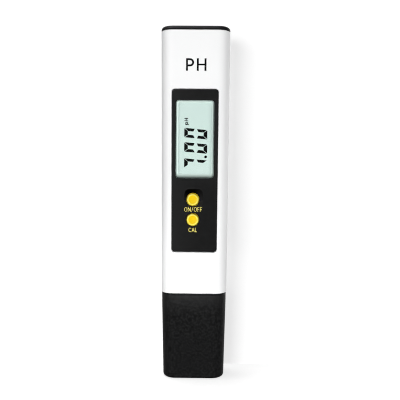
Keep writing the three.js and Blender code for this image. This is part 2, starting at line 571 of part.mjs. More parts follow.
{
  // blown glass stem and bulb, open at the top where the wire goes in
  const outer = [];
  const inner = [];
  const join = Math.asin(STEM_RADIUS / BULB_RADIUS);
  const rIn = BULB_RADIUS - 0.4;
  const joinIn = Math.asin((STEM_RADIUS - STEM_WALL) / rIn);
  for (let k = 0; k <= 7; k += 1) {
    const a = (k / 7) * (Math.PI - join);
    outer.push([k === 0 ? 0 : BULB_RADIUS * Math.sin(a), BULB_Z - BULB_RADIUS * Math.cos(a)]);
    const b = (k / 7) * (Math.PI - joinIn);
    inner.push([k === 0 ? 0 : rIn * Math.sin(b), BULB_Z - rIn * Math.cos(b)]);
  }
  const profile = [
    ...outer,
    [STEM_RADIUS, STEM_TOP], [STEM_RADIUS - STEM_WALL, STEM_TOP],
    ...inner.reverse(),
  ];
  add('glass_electrode', solidToGeometry(turned(profile, 20)), 'glass');
}

add('junction_ring', solidToGeometry(turned([
  [STEM_RADIUS + 0.1, 20.0], [SLEEVE_RADIUS - SLEEVE_WALL - 0.1, 20.0], [SLEEVE_RADIUS - SLEEVE_WALL - 0.1, 23.0],
  [STEM_RADIUS + 0.1, 23.0], [STEM_RADIUS + 0.1, 20.0],
], 20)), 'ceramic');

add('silver_wire', solidToGeometry(rodZ(0.45, 12.6, 52.0, 0, 0, 10)), 'silver');

add('temperature_probe', solidToGeometry(turned([
  [0, 25.0], [0.8, 25.15], [1.2, 25.8], [1.2, 52.2], [0, 52.2],
], 12).translate(8.6, 0, 0)), 'steel');

// ------------------------------------------------------------ internal leads

function lead(points, r) {
  const curve = new THREE.CatmullRomCurve3(points.map((p) => new THREE.Vector3(...p)));
  const s = new THREE.Shape();
  s.absarc(0, 0, r, 0, 2 * Math.PI);
  return solidToGeometry(new THREE.ExtrudeGeometry(s, { steps: 14, extrudePath: curve, curveSegments: 4, bevelEnabled: false }));
}
add('electrode_lead', lead([[0, 0, 52.2], [0, 0.5, 53.4], [-1.5, 2.3, 55.5], [-3.0, 2.6, 58.5], [-3.5, 1.2, 61.2], [-3.6, -0.3, 62.4]], 0.45), 'wire');
add('temperature_lead', lead([[8.6, 0.4, 52.75], [8.5, 1.8, 53.2], [7.8, 3.1, 54.4], [5.6, 3.6, 56.8], [4.0, 3.2, 59.0], [3.6, 1.4, 61.6], [3.6, -0.3, 62.8]], 0.45), 'chip');

// ------------------------------------------------------------ protective cap

{
  const levels = [];
  for (let k = 0; k <= 3; k += 1) {
    const a = (k / 3) * (Math.PI / 2);
    const z = PCAP_EDGE_RADIUS * (1 - Math.cos(a));
    levels.push({ z, hw: pcapHalfWidth(z), hd: pcapHalfDepth(z), inset: PCAP_EDGE_RADIUS * (1 - Math.sin(a)) });
  }
  levels.push({ z: PCAP_TOP - 0.25, hw: pcapHalfWidth(PCAP_TOP - 0.25), hd: pcapHalfDepth(PCAP_TOP - 0.25) });
  levels.push({ z: PCAP_TOP, hw: pcapHalfWidth(PCAP_TOP), hd: pcapHalfDepth(PCAP_TOP), inset: 0.25 });
  const inner = column([
    { z: PCAP_FLOOR, hw: pcapHalfWidth(PCAP_FLOOR) - PCAP_WALL, hd: pcapHalfDepth(PCAP_FLOOR) - PCAP_WALL, inset: 0.8 },
    { z: PCAP_FLOOR + 0.8, hw: pcapHalfWidth(PCAP_FLOOR + 0.8) - PCAP_WALL, hd: pcapHalfDepth(PCAP_FLOOR + 0.8) - PCAP_WALL },
    { z: PCAP_TOP + 1, hw: pcapHalfWidth(PCAP_TOP + 1) - PCAP_WALL, hd: pcapHalfDepth(PCAP_TOP + 1) - PCAP_WALL },
  ], PLAN_RADIUS - PCAP_WALL);
  add('protective_cap', geometryOf(solid(column(levels, PLAN_RADIUS, 4)).subtract(solid(inner))), 'black');
}

add('storage_sponge', solidToGeometry(column([
  { z: PCAP_FLOOR + 0.1, hw: 10.6, hd: 4.9, inset: 0.3 },
  { z: PCAP_FLOOR + 0.5, hw: 10.6, hd: 4.9 },
  { z: 5.2, hw: 10.6, hd: 4.9 },
  { z: 5.6, hw: 10.6, hd: 4.9, inset: 0.4 },
], 3.2, 2)), 'foam');

export default group;
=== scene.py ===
"""Pen-style pH meter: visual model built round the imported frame.

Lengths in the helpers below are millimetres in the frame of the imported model;
mesh() turns them into metres.
"""
import math

import bmesh
import bpy
from mathutils import Matrix, Vector


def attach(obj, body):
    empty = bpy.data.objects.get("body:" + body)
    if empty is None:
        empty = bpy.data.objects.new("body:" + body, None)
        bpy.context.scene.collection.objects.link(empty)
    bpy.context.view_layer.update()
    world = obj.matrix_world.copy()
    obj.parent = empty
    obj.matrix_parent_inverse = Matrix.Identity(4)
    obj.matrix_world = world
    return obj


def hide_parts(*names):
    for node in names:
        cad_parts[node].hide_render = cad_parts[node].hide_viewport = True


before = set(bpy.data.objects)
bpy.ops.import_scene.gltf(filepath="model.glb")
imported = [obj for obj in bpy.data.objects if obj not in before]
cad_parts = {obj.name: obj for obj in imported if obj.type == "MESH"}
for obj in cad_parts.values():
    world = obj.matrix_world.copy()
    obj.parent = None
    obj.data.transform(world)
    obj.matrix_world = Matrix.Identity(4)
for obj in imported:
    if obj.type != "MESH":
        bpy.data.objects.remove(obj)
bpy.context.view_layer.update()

MM = 0.001
SHELL, POWER, CALIB, LID, COVER = (
    "body_shell", "power_key", "calibration_key", "battery_cover", "probe_cover")

# ---------------------------------------------------------------- dimensions
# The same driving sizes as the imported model.

HALF_DEPTH = 8.25
PLAN_R = 5.5
HOUSING_Z = (38.55, 153.64)
HOUSING_HW = (14.57, 15.185)
WALL = 1.7
CAP_PLATE_Z = (153.92, 155.5)
PCAP_TOP = 38.30
PCAP_HW = (13.6, 14.43)
PCAP_HD = (7.7, 8.15)
PCAP_WALL = 1.6
PANEL_Z = (57.1, 128.2)
PANEL_HW = (9.85, 10.1)
WINDOW_Z = (89.5, 123.35)
WINDOW_HW = 8.3
BUTTON_X = -0.7
BUTTON_Z = {"power": 80.15, "cal": 71.3}
BUTTON_R = 2.75


def lerp(a, b, t):
    return a + (b - a) * t


def housing_hw(z):
    return lerp(HOUSING_HW[0], HOUSING_HW[1], (z - HOUSING_Z[0]) / (HOUSING_Z[1] - HOUSING_Z[0]))


def pcap_hw(z):
    return lerp(PCAP_HW[0], PCAP_HW[1], z / PCAP_TOP)


def pcap_hd(z):
    return lerp(PCAP_HD[0], PCAP_HD[1], z / PCAP_TOP)


# ------------------------------------------------------------------ materials


class Nodes:
    """A node tree with short ways to add to it."""

    def __init__(self, name):
        self.mat = bpy.data.materials.new(name)
        self.mat.use_nodes = True
        self.tree = self.mat.node_tree
        self.tree.nodes.clear()
        self.out = self.add("ShaderNodeOutputMaterial")

    def add(self, kind, **values):
        n = self.tree.nodes.new(kind)
        for key, value in values.items():
            setattr(n, key, value)
        return n

    def link(self, a, b):
        self.tree.links.new(a, b)

    def coords(self, scale=(1, 1, 1)):
        t = self.add("ShaderNodeTexCoord")
        m = self.add("ShaderNodeMapping")
        m.inputs["Scale"].default_value = scale
        self.link(t.outputs["Object"], m.inputs["Vector"])
        return m.outputs["Vector"]

    def noise(self, vector, scale, detail=2.0, rough=0.5):
        n = self.add("ShaderNodeTexNoise")
        n.inputs["Scale"].default_value = scale
        n.inputs["Detail"].default_value = detail
        n.inputs["Roughness"].default_value = rough
        self.link(vector, n.inputs["Vector"])
        return n.outputs["Fac"]

    def ramp(self, fac, stops):
        r = self.add("ShaderNodeValToRGB")
        e = r.color_ramp.elements
        while len(e) < len(stops):
            e.new(0.5)
        for el, (pos, col) in zip(e, stops):
            el.position = pos
            el.color = (*col, 1.0) if len(col) == 3 else col
        self.link(fac, r.inputs["Fac"])
        return r.outputs["Color"]

    def range(self, value, lo, hi, to_lo, to_hi):
        m = self.add("ShaderNodeMapRange")
        m.inputs["From Min"].default_value = lo
        m.inputs["From Max"].default_value = hi
        m.inputs["To Min"].default_value = to_lo
        m.inputs["To Max"].default_value = to_hi
        self.link(value, m.inputs["Value"])
        return m.outputs["Result"]

    def bump(self, height, strength, distance, normal=None):
        b = self.add("ShaderNodeBump")
        b.inputs["Strength"].default_value = strength
        b.inputs["Distance"].default_value = distance
        self.link(height, b.inputs["Height"])
        if normal is not None:
            self.link(normal, b.inputs["Normal"])
        return b.outputs["Normal"]


def surface(name, dark, light, rough=(0.35, 0.42), grain=2500.0, grain_depth=2e-6, tone_scale=60.0,
            metallic=0.0, spec=0.5, ior=1.5, stretch=(1, 1, 1), strength=1.0, coat=0.0, coat_rough=0.1,
            sheen=0.0, wave=0.0, subsurface=0.0):
    """Moulded or metal surface: a slow change of tone, a grain in the gloss and a fine bump."""
    n = Nodes(name)
    p = n.add("ShaderNodeBsdfPrincipled")
    p.inputs["Metallic"].default_value = metallic
    p.inputs["Specular IOR Level"].default_value = spec
    p.inputs["IOR"].default_value = ior
    if coat:
        p.inputs["Coat Weight"].default_value = coat
        p.inputs["Coat Roughness"].default_value = coat_rough
    if sheen:
        p.inputs["Sheen Weight"].default_value = sheen
    if subsurface:
        p.inputs["Subsurface Weight"].default_value = subsurface
        p.inputs["Subsurface Radius"].default_value = (0.0012, 0.001, 0.0009)
        p.inputs["Subsurface Scale"].default_value = 1.0
    v = n.coords(stretch)
    tone = n.noise(v, tone_scale, 3.0)
    n.link(n.ramp(tone, [(0.25, dark), (0.75, light)]), p.inputs["Base Color"])
    fine = n.noise(v, grain, 3.0, 0.6)
    n.link(n.range(fine, 0.3, 0.7, rough[0], rough[1]), p.inputs["Roughness"])
    normal = n.bump(fine, strength, grain_depth)
    if wave:
        normal = n.bump(n.noise(v, 90.0, 1.0), 1.0, wave, normal)
    n.link(normal, p.inputs["Normal"])
    n.link(p.outputs["BSDF"], n.out.inputs["Surface"])
    return n.mat


def clear(name, tint=(0.985, 0.995, 0.992), rough=0.02, ior=1.49, wave=1.2e-6):
    """Clear plastic or glass that lets light through to what lies behind it."""
    n = Nodes(name)
    p = n.add("ShaderNodeBsdfPrincipled")
    p.inputs["Transmission Weight"].default_value = 1.0
    p.inputs["IOR"].default_value = ior
    v = n.coords()
    n.link(n.ramp(n.noise(v, 40.0), [(0.3, tint), (0.7, tuple(min(1.0, c + 0.01) for c in tint))]),
           p.inputs["Base Color"])
    n.link(n.range(n.noise(v, 800.0), 0.3, 0.7, rough * 0.6, rough * 1.4), p.inputs["Roughness"])
    n.link(n.bump(n.noise(v, 120.0, 1.0), 1.0, wave), p.inputs["Normal"])
    t = n.add("ShaderNodeBsdfTransparent")
    t.inputs["Color"].default_value = (*tint, 1)
    lp = n.add("ShaderNodeLightPath")
    mix = n.add("ShaderNodeMixShader")
    n.link(lp.outputs["Is Shadow Ray"], mix.inputs[0])
    n.link(p.outputs["BSDF"], mix.inputs[1])
    n.link(t.outputs["BSDF"], mix.inputs[2])
    n.link(mix.outputs["Shader"], n.out.inputs["Surface"])
    return n.mat


def frosted_edge(name):
    """Rounded border of the window: pale, with painted shade darkening it towards its foot and its right side, and no
    bar to light.
    """
    n = Nodes(name)
    p = n.add("ShaderNodeBsdfPrincipled")
    p.inputs["Specular IOR Level"].default_value = 0.4
    t = n.add("ShaderNodeTexCoord")
    xyz = n.add("ShaderNodeSeparateXYZ")
    n.link(t.outputs["Object"], xyz.inputs["Vector"])
    foot = n.range(xyz.outputs["Z"], 0.0896, 0.0918, 0.0, 1.0)
    side = n.range(xyz.outputs["X"], -0.0083, 0.0083, 0.0, 1.0)
    v = n.coords()
    fine = n.noise(v, 5000.0, 2.0)
    # painted shade: the border's colour darkens towards its foot and along its right side, standing in for shading and
    # the dark panel seen through the edge
    up = n.ramp(foot, [(0.0, (0.10, 0.12, 0.11)), (0.30, (0.22, 0.27, 0.25)), (0.62, (0.45, 0.55, 0.51)), (1.0, (0.72, 0.88, 0.82))])
    across = n.ramp(side, [(0.0, (0.88, 0.88, 0.88)), (0.06, (1.0, 1.0, 1.0)), (0.5, (1.0, 1.0, 1.0)), (0.92, (1.0, 1.0, 1.0)), (0.965, (0.66, 0.66, 0.66)), (1.0, (0.42, 0.42, 0.42))])
    mul = n.add("ShaderNodeMix", data_type="RGBA", blend_type="MULTIPLY")
    mul.inputs[0].default_value = 1.0
    n.link(up, mul.inputs[6])
    n.link(across, mul.inputs[7])
    n.link(mul.outputs[2], p.inputs["Base Color"])
    n.link(n.range(fine, 0.3, 0.7, 0.25, 0.35), p.inputs["Roughness"])
    n.link(n.bump(fine, 1.0, 4e-7), p.inputs["Normal"])
    clear_to_light = n.add("ShaderNodeBsdfTransparent")
    lp = n.add("ShaderNodeLightPath")
    mix = n.add("ShaderNodeMixShader")
    n.link(lp.outputs["Is Shadow Ray"], mix.inputs[0])
    n.link(p.outputs["BSDF"], mix.inputs[1])
    n.link(clear_to_light.outputs["BSDF"], mix.inputs[2])
    n.link(mix.outputs["Shader"], n.out.inputs["Surface"])
    return n.mat


SCOOP_X, SCOOP_Z, SCOOP_HW, SCOOP_UP, SCOOP_LOW, SCOOP_DEPTH = BUTTON_X + 0.35, 80.2, 4.25, 4.75, 4.9, 0.80


def panel_black(name, recess=False):
    """Black moulding of the panel. The scoop's steep upper part has a low specular level and painted shade, darkest
    under the lip; the lip above it carries a painted highlight, and the panel a painted sheen round the display and
    towards the left edge.
    """
    n = Nodes(name)
    p = n.add("ShaderNodeBsdfPrincipled")
    p.inputs["Specular IOR Level"].default_value = 0.05 if recess else 0.30
    v = n.coords()
    tone = n.ramp(n.noise(v, 500.0, 3.0), [(0.25, (0.0058, 0.0059, 0.0060)), (0.75, (0.0088, 0.0089, 0.0090))])
    fine = n.noise(v, 5200.0, 3.0, 0.6)
    t = n.add("ShaderNodeTexCoord")
    xyz = n.add("ShaderNodeSeparateXYZ")
    n.link(t.outputs["Object"], xyz.inputs["Vector"])

    def math_node(kind, a, b=None):
        m = n.add("ShaderNodeMath", operation=kind)
        for socket, value in zip(m.inputs, (a, b)):
            if isinstance(value, (int, float)):
                socket.default_value = value
            elif value is not None:
                n.link(value, socket)
        return m.outputs["Value"]

    across = math_node("DIVIDE", math_node("SUBTRACT", xyz.outputs["X"], SCOOP_X * MM), SCOOP_HW * MM)
    up = math_node("DIVIDE", math_node("SUBTRACT", xyz.outputs["Z"], SCOOP_Z * MM), SCOOP_UP * MM)
    rho = math_node("POWER", math_node("ADD", math_node("POWER", math_node("ABSOLUTE", across), 4.0),
                                       math_node("POWER", math_node("MAXIMUM", up, 0.0), 4.0)), 0.25)
    if recess:
        # painted shade, darkest just under the lip, more so on the left, also down the scoop's sides, fading out to the
        # panel's own tone below; there the tone is lifted a little, a painted reflection in place of the low specular
        # level
        inside = n.range(rho, 0.99, 0.90, 0.25, 1.0)
        height = n.range(up, 0.0, 0.62, 0.0, 1.0)
        right = n.range(across, 0.10, 0.90, 1.0, 0.45)
        dark = math_node("MULTIPLY", math_node("MULTIPLY", inside, height), right)
        near = n.range(math_node("ABSOLUTE", across), 0.60, 1.0, 1.0, 0.0)
        dark = math_node("MAXIMUM", dark, math_node("MULTIPLY", math_node("MULTIPLY", near, 0.45), n.range(up, -0.08, 0.25, 0.0, 1.0)))
        mix = n.add("ShaderNodeMix", data_type="RGBA")
        n.link(dark, mix.inputs[0])
        painted_reflection_lift = n.add("ShaderNodeMix", data_type="RGBA", blend_type="ADD")
        painted_reflection_lift.inputs[0].default_value = 1.0
        n.link(tone, painted_reflection_lift.inputs[6])
        painted_reflection_lift.inputs[7].default_value = (0.0030, 0.0030, 0.0030, 1)
        n.link(painted_reflection_lift.outputs[2], mix.inputs[6])
        mix.inputs[7].default_value = (0.0003, 0.0003, 0.0003, 1)
        colour = mix.outputs[2]
    else:
        # painted highlight along the scoop's upper lip, stronger on the left
        lip = math_node("MULTIPLY", n.range(rho, 1.12, 1.02, 0.0, 1.0), n.range(up, 0.70, 0.95, 0.0, 1.0))
        lip = math_node("MULTIPLY", lip, n.range(across, -0.2, 1.0, 1.0, 0.3))
        # painted sheen, lighter round the display and towards the left edge
        display_sheen = n.ramp(n.range(xyz.outputs["Z"], 0.084, 0.127, 0.0, 1.0),
                        [(0.0, (0, 0, 0)), (0.25, (1, 1, 1)), (0.75, (1, 1, 1)), (1.0, (0, 0, 0))])
        left = n.range(xyz.outputs["X"], 0.002, -0.009, 0.0, 0.5)
        painted_light_amount = math_node("MAXIMUM", lip, math_node("MAXIMUM", math_node("MULTIPLY", display_sheen, 0.55), left))
        mix = n.add("ShaderNodeMix", data_type="RGBA")
        n.link(painted_light_amount, mix.inputs[0])
        n.link(tone, mix.inputs[6])
        mix.inputs[7].default_value = (0.0150, 0.0151, 0.0153, 1)
        colour = mix.outputs[2]
    n.link(colour, p.inputs["Base Color"])
    n.link(n.range(fine, 0.3, 0.7, 0.36, 0.44), p.inputs["Roughness"])
    n.link(n.bump(fine, 1.0, 2.2e-6), p.inputs["Normal"])
    n.link(p.outputs["BSDF"], n.out.inputs["Surface"])
    return n.mat


def satin_black_painted_highlight(name):
    """Satin black moulding with a mottled spark texture, and a painted highlight that makes it paler towards the rim,
    strongest a little left of centre and fading towards both sides.
    """
    n = Nodes(name)
    p = n.add("ShaderNodeBsdfPrincipled")
    p.inputs["Specular IOR Level"].default_value = 0.46
    v = n.coords()
    mottle = n.noise(v, 1150.0, 3.0, 0.55)
    tone = n.ramp(mottle, [(0.36, (0.0016, 0.0016, 0.0017)), (0.50, (0.0050, 0.0051, 0.0053)), (0.64, (0.0115, 0.0116, 0.0119))])
    t = n.add("ShaderNodeTexCoord")
    xyz = n.add("ShaderNodeSeparateXYZ")
    n.link(t.outputs["Object"], xyz.inputs["Vector"])
    # painted highlight: paler towards the rim, fading towards both sides, broken into patches by noise
    rim = n.ramp(n.range(xyz.outputs["Z"], 0.0285, 0.0380, 0.0, 1.0),
                 [(0.0, (0, 0, 0)), (0.45, (0.26, 0.26, 0.26)), (0.80, (0.66, 0.66, 0.66)), (0.955, (1, 1, 1)), (0.98, (0, 0, 0))])
    side = n.ramp(n.range(xyz.outputs["X"], -0.0125, 0.0125, 0.0, 1.0),
                  [(0.0, (0.55, 0.55, 0.55)), (0.35, (0.95, 0.95, 0.95)), (0.6, (0.9, 0.9, 0.9)), (1.0, (0.40, 0.40, 0.40))])
    highlight_patches = n.range(n.noise(v, 240.0, 2.0), 0.32, 0.64, 0.45, 1.0)
    m1 = n.add("ShaderNodeMath", operation="MULTIPLY")
    n.link(rim, m1.inputs[0])
    n.link(side, m1.inputs[1])
    highlight_mask = n.add("ShaderNodeMath", operation="MULTIPLY")
    n.link(m1.outputs["Value"], highlight_mask.inputs[0])
    n.link(highlight_patches, highlight_mask.inputs[1])
    mix = n.add("ShaderNodeMix", data_type="RGBA")
    n.link(highlight_mask.outputs["Value"], mix.inputs[0])
    n.link(tone, mix.inputs[6])
    mix.inputs[7].default_value = (0.026, 0.026, 0.0265, 1)
    n.link(mix.outputs[2], p.inputs["Base Color"])
    n.link(n.range(mottle, 0.3, 0.7, 0.38, 0.54), p.inputs["Roughness"])
    grain = n.bump(n.noise(v, 2800.0, 3.0, 0.6), 1.0, 4e-6)
    n.link(n.bump(mottle, 1.0, 6e-6, grain), p.inputs["Normal"])
    n.link(p.outputs["BSDF"], n.out.inputs["Surface"])
    return n.mat


M = {
    "rim": frosted_edge("window_edge"),
    "cap_black": satin_black_painted_highlight("cap_black"),
    "white": surface("moulded_white", (0.865, 0.868, 0.870), (0.895, 0.898, 0.899), rough=(0.40, 0.48), spec=0.4,
                     grain=3200.0, grain_depth=1.4e-6, tone_scale=35.0, wave=2.5e-6),
    "black": surface("moulded_black", (0.0040, 0.0041, 0.0043), (0.0085, 0.0086, 0.0089), rough=(0.40, 0.52), spec=0.35,
                     grain=2600.0, grain_depth=5e-6, tone_scale=900.0, wave=2e-6),
    "panel": panel_black("panel_black"),
    "recess": panel_black("scoop_black", recess=True),
    "yellow": surface("button_yellow", (0.775, 0.520, 0.004), (0.815, 0.575, 0.007), rough=(0.40, 0.50), spec=0.3,
                      grain=5200.0, grain_depth=1.5e-6, tone_scale=400.0),
    "yellow_rim_highlight": surface("button_rim_highlight", (0.83, 0.71, 0.085), (0.87, 0.77, 0.12), rough=(0.30, 0.38), spec=0.45,
                          grain=5200.0, grain_depth=1.0e-6, tone_scale=400.0),
    "label": surface("label_yellow", (0.72, 0.62, 0.13), (0.80, 0.70, 0.18), rough=(0.5, 0.6), grain=6000.0,
                     grain_depth=5e-7, tone_scale=700.0),
    "ink": surface("printed_black", (0.0018, 0.0018, 0.0020), (0.0045, 0.0045, 0.0048), rough=(0.45, 0.6), spec=0.08, grain=5000.0,
                   grain_depth=5e-7, tone_scale=500.0),
    "lcd": surface("lcd_face", (0.795, 0.965, 0.910), (0.815, 0.985, 0.930), rough=(0.42, 0.50), spec=0.2, grain=7000.0,
                   grain_depth=6e-7, tone_scale=90.0),
    "segment": surface("lcd_segment", (0.0006, 0.0009, 0.0008), (0.0016, 0.0022, 0.0020), rough=(0.5, 0.6), spec=0.03, grain=6000.0,
                       grain_depth=3e-7, tone_scale=600.0),
    "lens": clear("clear_window", ior=1.24),
    "glass": clear("blown_glass", tint=(0.95, 0.985, 0.985), rough=0.015, ior=1.47, wave=4e-6),
    "rubber": surface("seal_rubber", (0.014, 0.014, 0.015), (0.028, 0.028, 0.030), rough=(0.62, 0.78), grain=3500.0,
                      grain_depth=6e-6, tone_scale=300.0),
    "steel": surface("plated_steel", (0.50, 0.50, 0.51), (0.64, 0.64, 0.65), rough=(0.22, 0.34), metallic=1.0,
                     grain=2500.0, grain_depth=1.5e-6, tone_scale=250.0, stretch=(1, 1, 0.15)),
    "nickel": surface("cell_nickel", (0.60, 0.59, 0.57), (0.72, 0.71, 0.69), rough=(0.16, 0.27), metallic=1.0,
                      grain=2200.0, grain_depth=1.2e-6, tone_scale=350.0, stretch=(0.3, 1, 1)),
    "stainless": surface("polished_stainless", (0.56, 0.57, 0.58), (0.66, 0.67, 0.68), rough=(0.10, 0.18), metallic=1.0,
                         grain=1800.0, grain_depth=8e-7, tone_scale=250.0, stretch=(1, 1, 0.1)),
    "silver": surface("silver_wire", (0.42, 0.41, 0.40), (0.62, 0.61, 0.59), rough=(0.3, 0.5), metallic=1.0,
                      grain=2500.0, grain_depth=2e-6, tone_scale=600.0),
    "board": surface("solder_mask", (0.012, 0.125, 0.045), (0.020, 0.175, 0.065), rough=(0.28, 0.36), grain=1800.0,
                     grain_depth=3e-6, tone_scale=900.0),
    "chip": surface("moulded_epoxy", (0.018, 0.018, 0.019), (0.034, 0.034, 0.036), rough=(0.55, 0.7), grain=4500.0,
                    grain_depth=5e-6, tone_scale=300.0),
    "grey": surface("inner_grey", (0.27, 0.28, 0.29), (0.34, 0.35, 0.36), rough=(0.48, 0.6), grain=2500.0,
                    grain_depth=4e-6, tone_scale=120.0),
    "inner_black": surface("inner_black", (0.014, 0.014, 0.015), (0.024, 0.024, 0.026), rough=(0.45, 0.58),
                           grain=2600.0, grain_depth=4e-6, tone_scale=150.0),
    "foam": surface("sponge_foam", (0.52, 0.45, 0.28), (0.74, 0.67, 0.47), rough=(0.85, 0.98), grain=1400.0,
                    grain_depth=1.2e-4, tone_scale=900.0),
    "ceramic": surface("porous_junction", (0.72, 0.70, 0.66), (0.84, 0.83, 0.79), rough=(0.7, 0.85), grain=3000.0,
                       grain_depth=8e-6, tone_scale=500.0),
    "red_wire": surface("red_insulation", (0.36, 0.012, 0.010), (0.48, 0.022, 0.018), rough=(0.4, 0.5), grain=3000.0,
                        grain_depth=2e-6, tone_scale=300.0),
    "dark_wire": surface("dark_insulation", (0.016, 0.016, 0.018), (0.03, 0.03, 0.032), rough=(0.4, 0.5), grain=3000.0,
                         grain_depth=2e-6, tone_scale=300.0),
}

# --------------------------------------------------------------- mesh helpers


def mesh(name, verts, faces, material, smooth_angle=32.0, weighted=True):
    me = bpy.data.meshes.new(name)
    me.from_pydata([(x * MM, y * MM, z * MM) for x, y, z in verts], [], faces)
    obj = bpy.data.objects.new(name, me)
    bpy.context.scene.collection.objects.link(obj)
    me.materials.append(M[material] if isinstance(material, str) else material)
    tidy(obj)
    shade(obj, smooth_angle, weighted)
    return obj


def tidy(obj, dist=2e-7):
    bm = bmesh.new()
    bm.from_mesh(obj.data)
    bmesh.ops.remove_doubles(bm, verts=bm.verts, dist=dist)
    bmesh.ops.dissolve_degenerate(bm, edges=bm.edges, dist=dist)
    bmesh.ops.recalc_face_normals(bm, faces=bm.faces)
    bm.to_mesh(obj.data)
    bm.free()


def shade(obj, angle=32.0, weighted=True):
    me = obj.data
    me.polygons.foreach_set("use_smooth", [True] * len(me.polygons))
    me.set_sharp_from_angle(angle=math.radians(angle))
    me.update()
    if weighted:
        mod = obj.modifiers.new("even_normals", "WEIGHTED_NORMAL")
        mod.keep_sharp = True
        mod.weight = 80
        bake(obj)


def bake(obj):
    """Puts the result of the modifiers in the mesh."""
    dg = bpy.context.evaluated_depsgraph_get()
    dg.update()
    new = bpy.data.meshes.new_from_object(obj.evaluated_get(dg), preserve_all_data_layers=True, depsgraph=dg)
    old = obj.data
    obj.modifiers.clear()
    obj.data = new
    new.name = old.name
    bpy.data.meshes.remove(old)


def cut(obj, *tools, operation="DIFFERENCE"):
    for t in tools:
        mod = obj.modifiers.new("cut", "BOOLEAN")
        mod.operation = operation
        mod.solver = "EXACT"
        mod.object = t
        bake(obj)
    for t in tools:
        bpy.data.objects.remove(t, do_unlink=True)


def arc(cx, cy, r, a0, a1, n):
    return [(cx + r * math.cos(math.radians(lerp(a0, a1, i / n))),
             cy + r * math.sin(math.radians(lerp(a0, a1, i / n)))) for i in range(n + 1)]


def outline(hw, hd, r, n=12):
    """Rounded rectangle, anticlockwise, the same number of points whatever its size."""
    return (arc(hw - r, hd - r, r, 0, 90, n) + arc(-hw + r, hd - r, r, 90, 180, n)
            + arc(-hw + r, -hd + r, r, 180, 270, n) + arc(hw - r, -hd + r, r, 270, 360, n))


def ring(z, hw, hd, r, inset=0.0, n=12):
    return [(x, y, z) for x, y in outline(hw - inset, hd - inset, max(r - inset, 0.05), n)]


def plate_outline(zb, zt, hwb, hwt, r, off=0.0, n=8):
    """Rounded trapezoid in XZ, grown by off."""
    zb, zt, hwb, hwt, r = zb - off, zt + off, hwb + off, hwt + off, max(r + off, 0.05)
    return (arc(hwt - r, zt - r, r, 0, 90, n) + arc(-hwt + r, zt - r, r, 90, 180, n)
            + arc(-hwb + r, zb + r, r, 180, 270, n) + arc(hwb - r, zb + r, r, 270, 360, n))


def loft(rings, closed=False, caps=(True, True)):
    """Joins rings of equal length with quads; closed joins the last to the first."""
    n = len(rings[0])
    verts = [p for r in rings for p in r]
    faces = []
    count = len(rings)
    for k in range(count if closed else count - 1):
        a, b = k * n, ((k + 1) % count) * n
        for i in range(n):
            j = (i + 1) % n
            faces.append((a + i, a + j, b + j, b + i))
    if not closed:
        if caps[0]:
            faces.append(tuple(reversed(range(n))))
        if caps[1]:
            faces.append(tuple(range((count - 1) * n, count * n)))
    return verts, faces


def lathe(profile, segments=64, axis="Z", at=(0.0, 0.0, 0.0)):
    """Turns (radius, height) pairs about an axis; ends on the axis are closed."""
    verts, faces = [], []
    rows = []
    for r, h in profile:
        if r < 1e-6:
            rows.append([len(verts)])
            verts.append((0.0, 0.0, h))
        else:
            rows.append(list(range(len(verts), len(verts) + segments)))
            for i in range(segments):
                a = 2 * math.pi * i / segments
                verts.append((r * math.cos(a), r * math.sin(a), h))
    for lo, hi in zip(rows, rows[1:]):
        for i in range(segments):
            j = (i + 1) % segments
            if len(lo) == 1 and len(hi) == 1:
                continue
            if len(lo) == 1:
                faces.append((lo[0], hi[j], hi[i]))
            elif len(hi) == 1:
                faces.append((lo[i], lo[j], hi[0]))
            else:
                faces.append((lo[i], lo[j], hi[j], hi[i]))
    if axis == "Y":
        verts = [(x, h, y) for x, y, h in verts]
    elif axis == "X":
        verts = [(h, x, y) for x, y, h in verts]
    return [(x + at[0], y + at[1], z + at[2]) for x, y, z in verts], faces


def fillet(r, n, z0, direction):
    """Pairs (height, inset) round a quarter circle, from the flat end to the side."""
    return [(z0 + direction * r * (1 - math.cos(math.pi / 2 * i / n)), r * (1 - math.sin(math.pi / 2 * i / n)))
            for i in range(n + 1)]


def rod(name, r, a, b, segments=48):
    """Plain cutter between two points."""
    a, b = Vector(a), Vector(b)
    q = Vector((0, 0, 1)).rotation_difference((b - a).normalized())
    verts, faces = lathe([(0, 0), (r, 0), (r, (b - a).length), (0, (b - a).length)], segments)
    return mesh(name, [tuple(a + q @ Vector(v)) for v in verts], faces, "white", weighted=False)


def block(name, lo, hi, material="white"):
    (x0, y0, z0), (x1, y1, z1) = lo, hi
    v = [(x, y, z) for z in (z0, z1) for y in (y0, y1) for x in (x0, x1)]
    f = [(0, 2, 3, 1), (4, 5, 7, 6), (0, 1, 5, 4), (2, 6, 7, 3), (0, 4, 6, 2), (1, 3, 7, 5)]
    return mesh(name, v, f, material, weighted=False)


